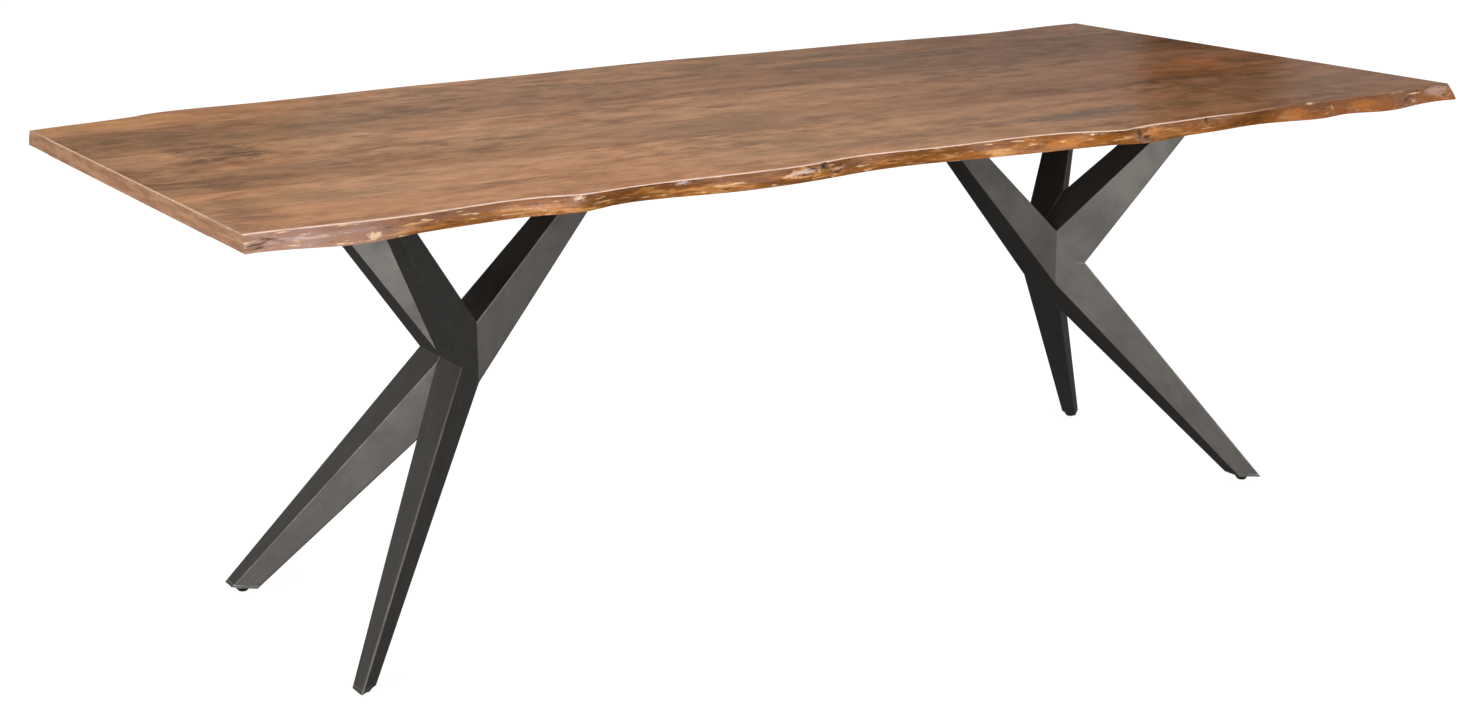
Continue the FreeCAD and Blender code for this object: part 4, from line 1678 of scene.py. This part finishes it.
@dataclass
class Fasteners:
    """The hexagon-head bolts and round washers that hold the pedestals to the top."""

    plated: bpy.types.Material
    head_flats: float = 10.0 * MM
    head_height: float = 4.0 * MM
    head_chamfer: float = 0.7 * MM
    face_inset: float = 0.2 * MM
    seat_inset: float = 0.1 * MM
    corner_room: float = 0.1 * MM
    shank: float = 2.9 * MM
    length: float = 20.0 * MM
    lead_in: float = 0.8 * MM
    smooth_angle: float = math.radians(25.0)
    washer_bore: float = 3.2 * MM
    washer_radius: float = 7.0 * MM
    washer_thickness: float = 1.2 * MM
    washer_round: float = 0.25 * MM
    apart: float = 20.0 * MM

    def bolt(self) -> Piece:
        """Models a bolt that points up, its head's bearing face at the origin.

        Returns:
            The pattern of the bolts.
        """
        flat = self.head_flats / 2
        corner = self.head_flats / math.sqrt(3.0)
        bpy.ops.mesh.primitive_cylinder_add(vertices=6, radius=corner, depth=self.head_height,
                                            location=(0.0, 0.0, -self.head_height / 2))
        bolt = named("mounting_bolt")
        blank = turned("head_blank", (
            (flat - self.face_inset, -self.head_height),
            (corner + self.corner_room, -self.head_height + self.head_chamfer),
            (corner + self.corner_room, -self.head_chamfer / 3),
            (flat - self.seat_inset, 0.0),
        ))
        combine(bolt, blank, Joint.INTERSECT)
        shank = turned("bolt_shank", (
            (self.shank, -self.head_height / 2),
            (self.shank, self.length - self.lead_in),
            (self.shank - self.lead_in, self.length),
        ))
        combine(bolt, shank, Joint.UNION)
        close_up(bolt, self.smooth_angle)
        return bolt

    def washer(self) -> Piece:
        """Models a washer that lies on the origin.

        Returns:
            The pattern of the washers.
        """
        ease, top = self.washer_round, self.washer_thickness
        return turned("bolt_washer", (
            (self.washer_bore, 0.0),
            (self.washer_radius, 0.0),
            (self.washer_radius, top - ease),
            (self.washer_radius - ease, top),
            (self.washer_bore, top),
            (self.washer_bore, 0.0),
        ))

    def build(self) -> None:
        """Copies the bolts and washers to their places under both pedestals."""
        for kind, pattern in (("mounting_bolts", self.bolt()), ("bolt_washers", self.washer())):
            for side in Side:
                node = f"{side.value}_{kind}"
                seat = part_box(f"{side.value}_bolt_washers")[0].z
                sites = [Vector((middle.x, middle.y, seat)) for middle in middles_of(node, self.apart)]
                group = copies_at(pattern, sites, f"{node}_turned")
                dress(group, self.plated)
                hand_over(group, TABLE_BODY, Slot.PLATED, node)
            bpy.data.objects.remove(pattern)


@dataclass
class Glides:
    """The four levelling glides: threaded stems that turn in the feet, with plastic pads."""

    plastic: bpy.types.Material
    plated: bpy.types.Material
    pitch: float = 1.25 * MM
    crest: float = 4.0 * MM
    thread_depth: float = 0.767 * MM
    flank_share: float = 5 / 16
    crest_share: float = 1 / 8
    root_share: float = 1 / 4
    spare_turns: int = 2
    stem_bottom: float = 3.0 * MM
    stem_top: float = 25.0 * MM
    lead_in: float = 1.0 * MM
    steps: int = 24
    pad_sides: int = 64
    pad_face: float = 7.5 * MM
    pad_radius: float = 12.0 * MM
    pad_flank: float = 6.0 * MM
    pad_top: float = 8.5 * MM
    pad_round: float = 0.6 * MM
    recess: float = 4.15 * MM

    def pad(self) -> Piece:
        """Models a pad: a cone on the floor under a rounded rim, with a recess for the stem.

        Returns:
            The pattern of the pads.
        """
        ease, rim, top = self.pad_round, self.pad_radius, self.pad_top
        slope = (rim - self.pad_face) / self.pad_flank
        return turned("glide_pad", (
            (self.pad_face - ease, 0.0),
            (self.pad_face - 0.2 * ease, 0.15 * ease),
            (self.pad_face + 0.9 * ease * slope, 0.9 * ease),
            (rim - ease * slope, self.pad_flank - ease),
            (rim - 0.25 * ease * slope, self.pad_flank),
            (rim, self.pad_flank + ease),
            (rim, top - 1.5 * ease),
            (rim - 0.3 * ease, top - 0.6 * ease),
            (rim - ease, top - 0.1 * ease),
            (rim - 1.6 * ease, top),
            (self.recess, top),
            (self.recess, self.stem_bottom),
        ), self.pad_sides)

    def thread(self) -> Piece:
        """Winds one profile of the thread up the stem, with spare turns at both ends.

        Returns:
            The closed thread.
        """
        bpy.ops.mesh.primitive_plane_add(size=self.pitch)
        stem = named("glide_stem")
        start = (self.crest - self.thread_depth, 0.0, self.stem_bottom - self.spare_turns * self.pitch)
        profile = ((1.0, self.flank_share), (0.0, self.crest_share), (-1.0, self.flank_share),
                   (0.0, self.root_share))
        with editing(stem):
            bpy.ops.mesh.select_mode(type=Pick.POINTS.value)
            bpy.ops.mesh.select_all(action="SELECT")
            bpy.ops.mesh.merge(type="CENTER")
            bpy.ops.transform.translate(value=start)
            for out, share in profile:
                step = (out * self.thread_depth, 0.0, share * self.pitch)
                bpy.ops.mesh.extrude_vertices_move(TRANSFORM_OT_translate={"value": step})
        turns = math.ceil((self.stem_top - self.stem_bottom) / self.pitch) + 2 * self.spare_turns
        use_modifier(stem, "SCREW", axis="Z", screw_offset=self.pitch, iterations=turns, steps=self.steps,
                     render_steps=self.steps)
        with editing(stem):
            merge_all()
            bpy.ops.mesh.fill_holes(sides=0)
            bpy.ops.mesh.normals_make_consistent(inside=False)
        return stem

    def stem(self) -> Piece:
        """Models a stem with its screw thread and a chamfered tip.

        Returns:
            The pattern of the stems.
        """
        stem = self.thread()
        blank = turned("stem_blank", (
            (self.crest + self.lead_in, self.stem_bottom),
            (self.crest + self.lead_in, self.stem_top - 2 * self.lead_in),
            (self.crest - self.lead_in, self.stem_top),
        ))
        combine(stem, blank, Joint.INTERSECT)
        close_up(stem)
        return stem

    def build(self) -> None:
        """Copies the stems and pads to the four feet."""
        kinds = (("stem", "screw", self.stem(), self.plated, Slot.PLATED),
                 ("pad", "glide", self.pad(), self.plastic, Slot.PLASTIC))
        feet = [f"{side.value}_{row.value}" for side in Side for row in Row]
        for kind, body, pattern, material, slot in kinds:
            for foot in feet:
                node = f"{foot}_glide_{kind}"
                low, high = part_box(node)
                site = Vector(((low.x + high.x) / 2, (low.y + high.y) / 2, 0.0))
                piece = copy_to(pattern, site, f"{node}_turned")
                dress(piece, material)
                hand_over(piece, f"{foot}_{body}", slot, node)
            bpy.data.objects.remove(pattern)


@dataclass(frozen=True)
class Panel:
    """A soft rectangular studio light that looks at one point."""

    name: str
    place: Place
    size: Range
    power: float
    aim: Place = (0.0, 0.0, 0.45)
    glare_only: bool = False

    def build(self, boards: bpy.types.Collection) -> None:
        """Adds the light.

        Args:
            boards: The boards of the top. A panel that is there for glare shows in them and nowhere else.
        """
        lamp = bpy.data.lights.new(self.name, "AREA")
        lamp.shape = "RECTANGLE"
        lamp.size, lamp.size_y = self.size
        lamp.energy = self.power
        light = bpy.data.objects.new(self.name, lamp)
        bpy.context.scene.collection.objects.link(light)
        light.location = self.place
        gaze = Vector(self.aim) - Vector(self.place)
        light.rotation_euler = gaze.to_track_quat("-Z", "Y").to_euler()
        light.visible_camera = False
        if self.glare_only:
            light.visible_diffuse = False
            light.light_linking.receiver_collection = boards


@dataclass
class Studio:
    """A pale floor, soft light and the camera of the photograph."""

    boards: list[Piece]
    eye: Place = (-2.1506, -3.2436, 1.4008)
    heading: float = 32.831
    dip: float = 15.661
    roll: float = 0.211
    focal_px: float = 2308.97
    width_px: float = 1480.0
    sensor: float = 36.0
    floor_reach: float = 60.0
    floor_tone: Colour = (0.22, 0.22, 0.22, 1.0)
    floor_glow: float = 0.88
    floor_clouds: float = 0.4
    floor_roughness: Range = (0.86, 0.9)
    ambient: float = 0.05
    backdrop: float = 1.0
    overhead: float = 1.8
    overhead_spread: float = 140.0
    panels: tuple[Panel, ...] = (
        Panel("key_panel", (-9.5, -3.0, 1.7), (9.0, 4.6), 1080.0),
        Panel("front_panel", (3.8, -8.6, 1.7), (8.0, 4.4), 300.0),
        Panel("near_panel", (-1.0, -4.6, 0.9), (3.6, 2.4), 115.0),
        Panel("side_panel", (8.0, -1.0, 1.7), (6.0, 3.4), 66.0),
        Panel("back_left_panel", (0.625, 5.2, 2.0), (1.25, 1.8), 5.4, (0.625, 0.0, 2.0), True),
        Panel("back_panel", (3.45, 5.2, 2.0), (4.4, 1.8), 37.7, (3.45, 0.0, 2.0), True),
        Panel("back_right_panel", (7.6, 5.2, 2.0), (1.9, 1.8), 17.0, (7.6, 0.0, 2.0), True),
    )

    def build(self) -> None:
        """Makes the floor, lights, world and camera."""
        self.lay_floor()
        boards = bpy.data.collections.new("top_boards")
        for board in self.boards:
            boards.objects.link(board)
        for panel in self.panels:
            panel.build(boards)
        self.hang_overhead()
        self.light_world()
        self.set_camera()
        bpy.context.scene.view_settings.view_transform = "Standard"

    def lay_floor(self) -> None:
        """Lays a pale floor that neither lights the table nor shows in it."""
        bpy.ops.mesh.primitive_plane_add(size=self.floor_reach)
        floor = named("studio_floor")
        material, graph, spot, shader = new_material("studio_floor")
        specks = Mottle().place(graph, Vector=spot, Size=self.floor_clouds)["Speck"]
        graph.join(shader, {
            "Base Color": self.floor_tone,
            "Roughness": graph.spread(specks, *UNIT, *self.floor_roughness),
            "Emission Color": WHITE,
            "Emission Strength": self.floor_glow,
        })
        dress(floor, material)
        floor.visible_diffuse = False
        floor.visible_glossy = False

    def hang_overhead(self) -> None:
        """Hangs a broad even light above the table."""
        lamp = bpy.data.lights.new("overhead", "SUN")
        lamp.energy = self.overhead
        lamp.angle = math.radians(self.overhead_spread)
        bpy.context.scene.collection.objects.link(bpy.data.objects.new("overhead", lamp))

    def light_world(self) -> None:
        """Sets a dim even light all round, behind a pale backdrop."""
        world = bpy.data.worlds.new("studio")
        bpy.context.scene.world = world
        world.use_nodes = True
        graph = Graph(world.node_tree)
        seen = graph.add("LightPath").outputs["Is Camera Ray"]
        strength = graph.spread(seen, *UNIT, self.ambient, self.backdrop)
        sky = graph.add("Background", {"Color": WHITE, "Strength": strength})
        graph.add("OutputWorld", {"Surface": sky.outputs[0]})

    def set_camera(self) -> None:
        """Stands the camera where the photograph was taken from."""
        yaw = math.radians(self.heading)
        pitch = math.radians(self.dip)
        roll = math.radians(self.roll)
        ahead = Vector((math.sin(yaw) * math.cos(pitch), math.cos(yaw) * math.cos(pitch), -math.sin(pitch)))
        level = Vector((math.cos(yaw), -math.sin(yaw), 0.0))
        below = ahead.cross(level)
        right = math.cos(roll) * level + math.sin(roll) * below
        down = math.cos(roll) * below - math.sin(roll) * level
        lens = bpy.data.cameras.new("photo_camera")
        lens.sensor_width = self.sensor
        lens.lens = self.sensor * self.focal_px / self.width_px
        camera = bpy.data.objects.new("photo_camera", lens)
        bpy.context.scene.collection.objects.link(camera)
        turn = Matrix((right, -down, -ahead)).transposed().to_4x4()
        camera.matrix_world = Matrix.Translation(self.eye) @ turn
        bpy.context.scene.camera = camera


def main() -> None:
    """Builds the table and the studio round it."""
    logging.basicConfig(level=logging.INFO, format="%(message)s")
    plated = PlatedFinish().material()
    plastic = PlasticFinish().material()
    boards = TableTop().build()
    for side in Side:
        Pedestal(side, plated).build()
    Fasteners(plated).build()
    Glides(plastic, plated).build()
    Studio(boards).build()


if __name__ == "__main__":
    main()
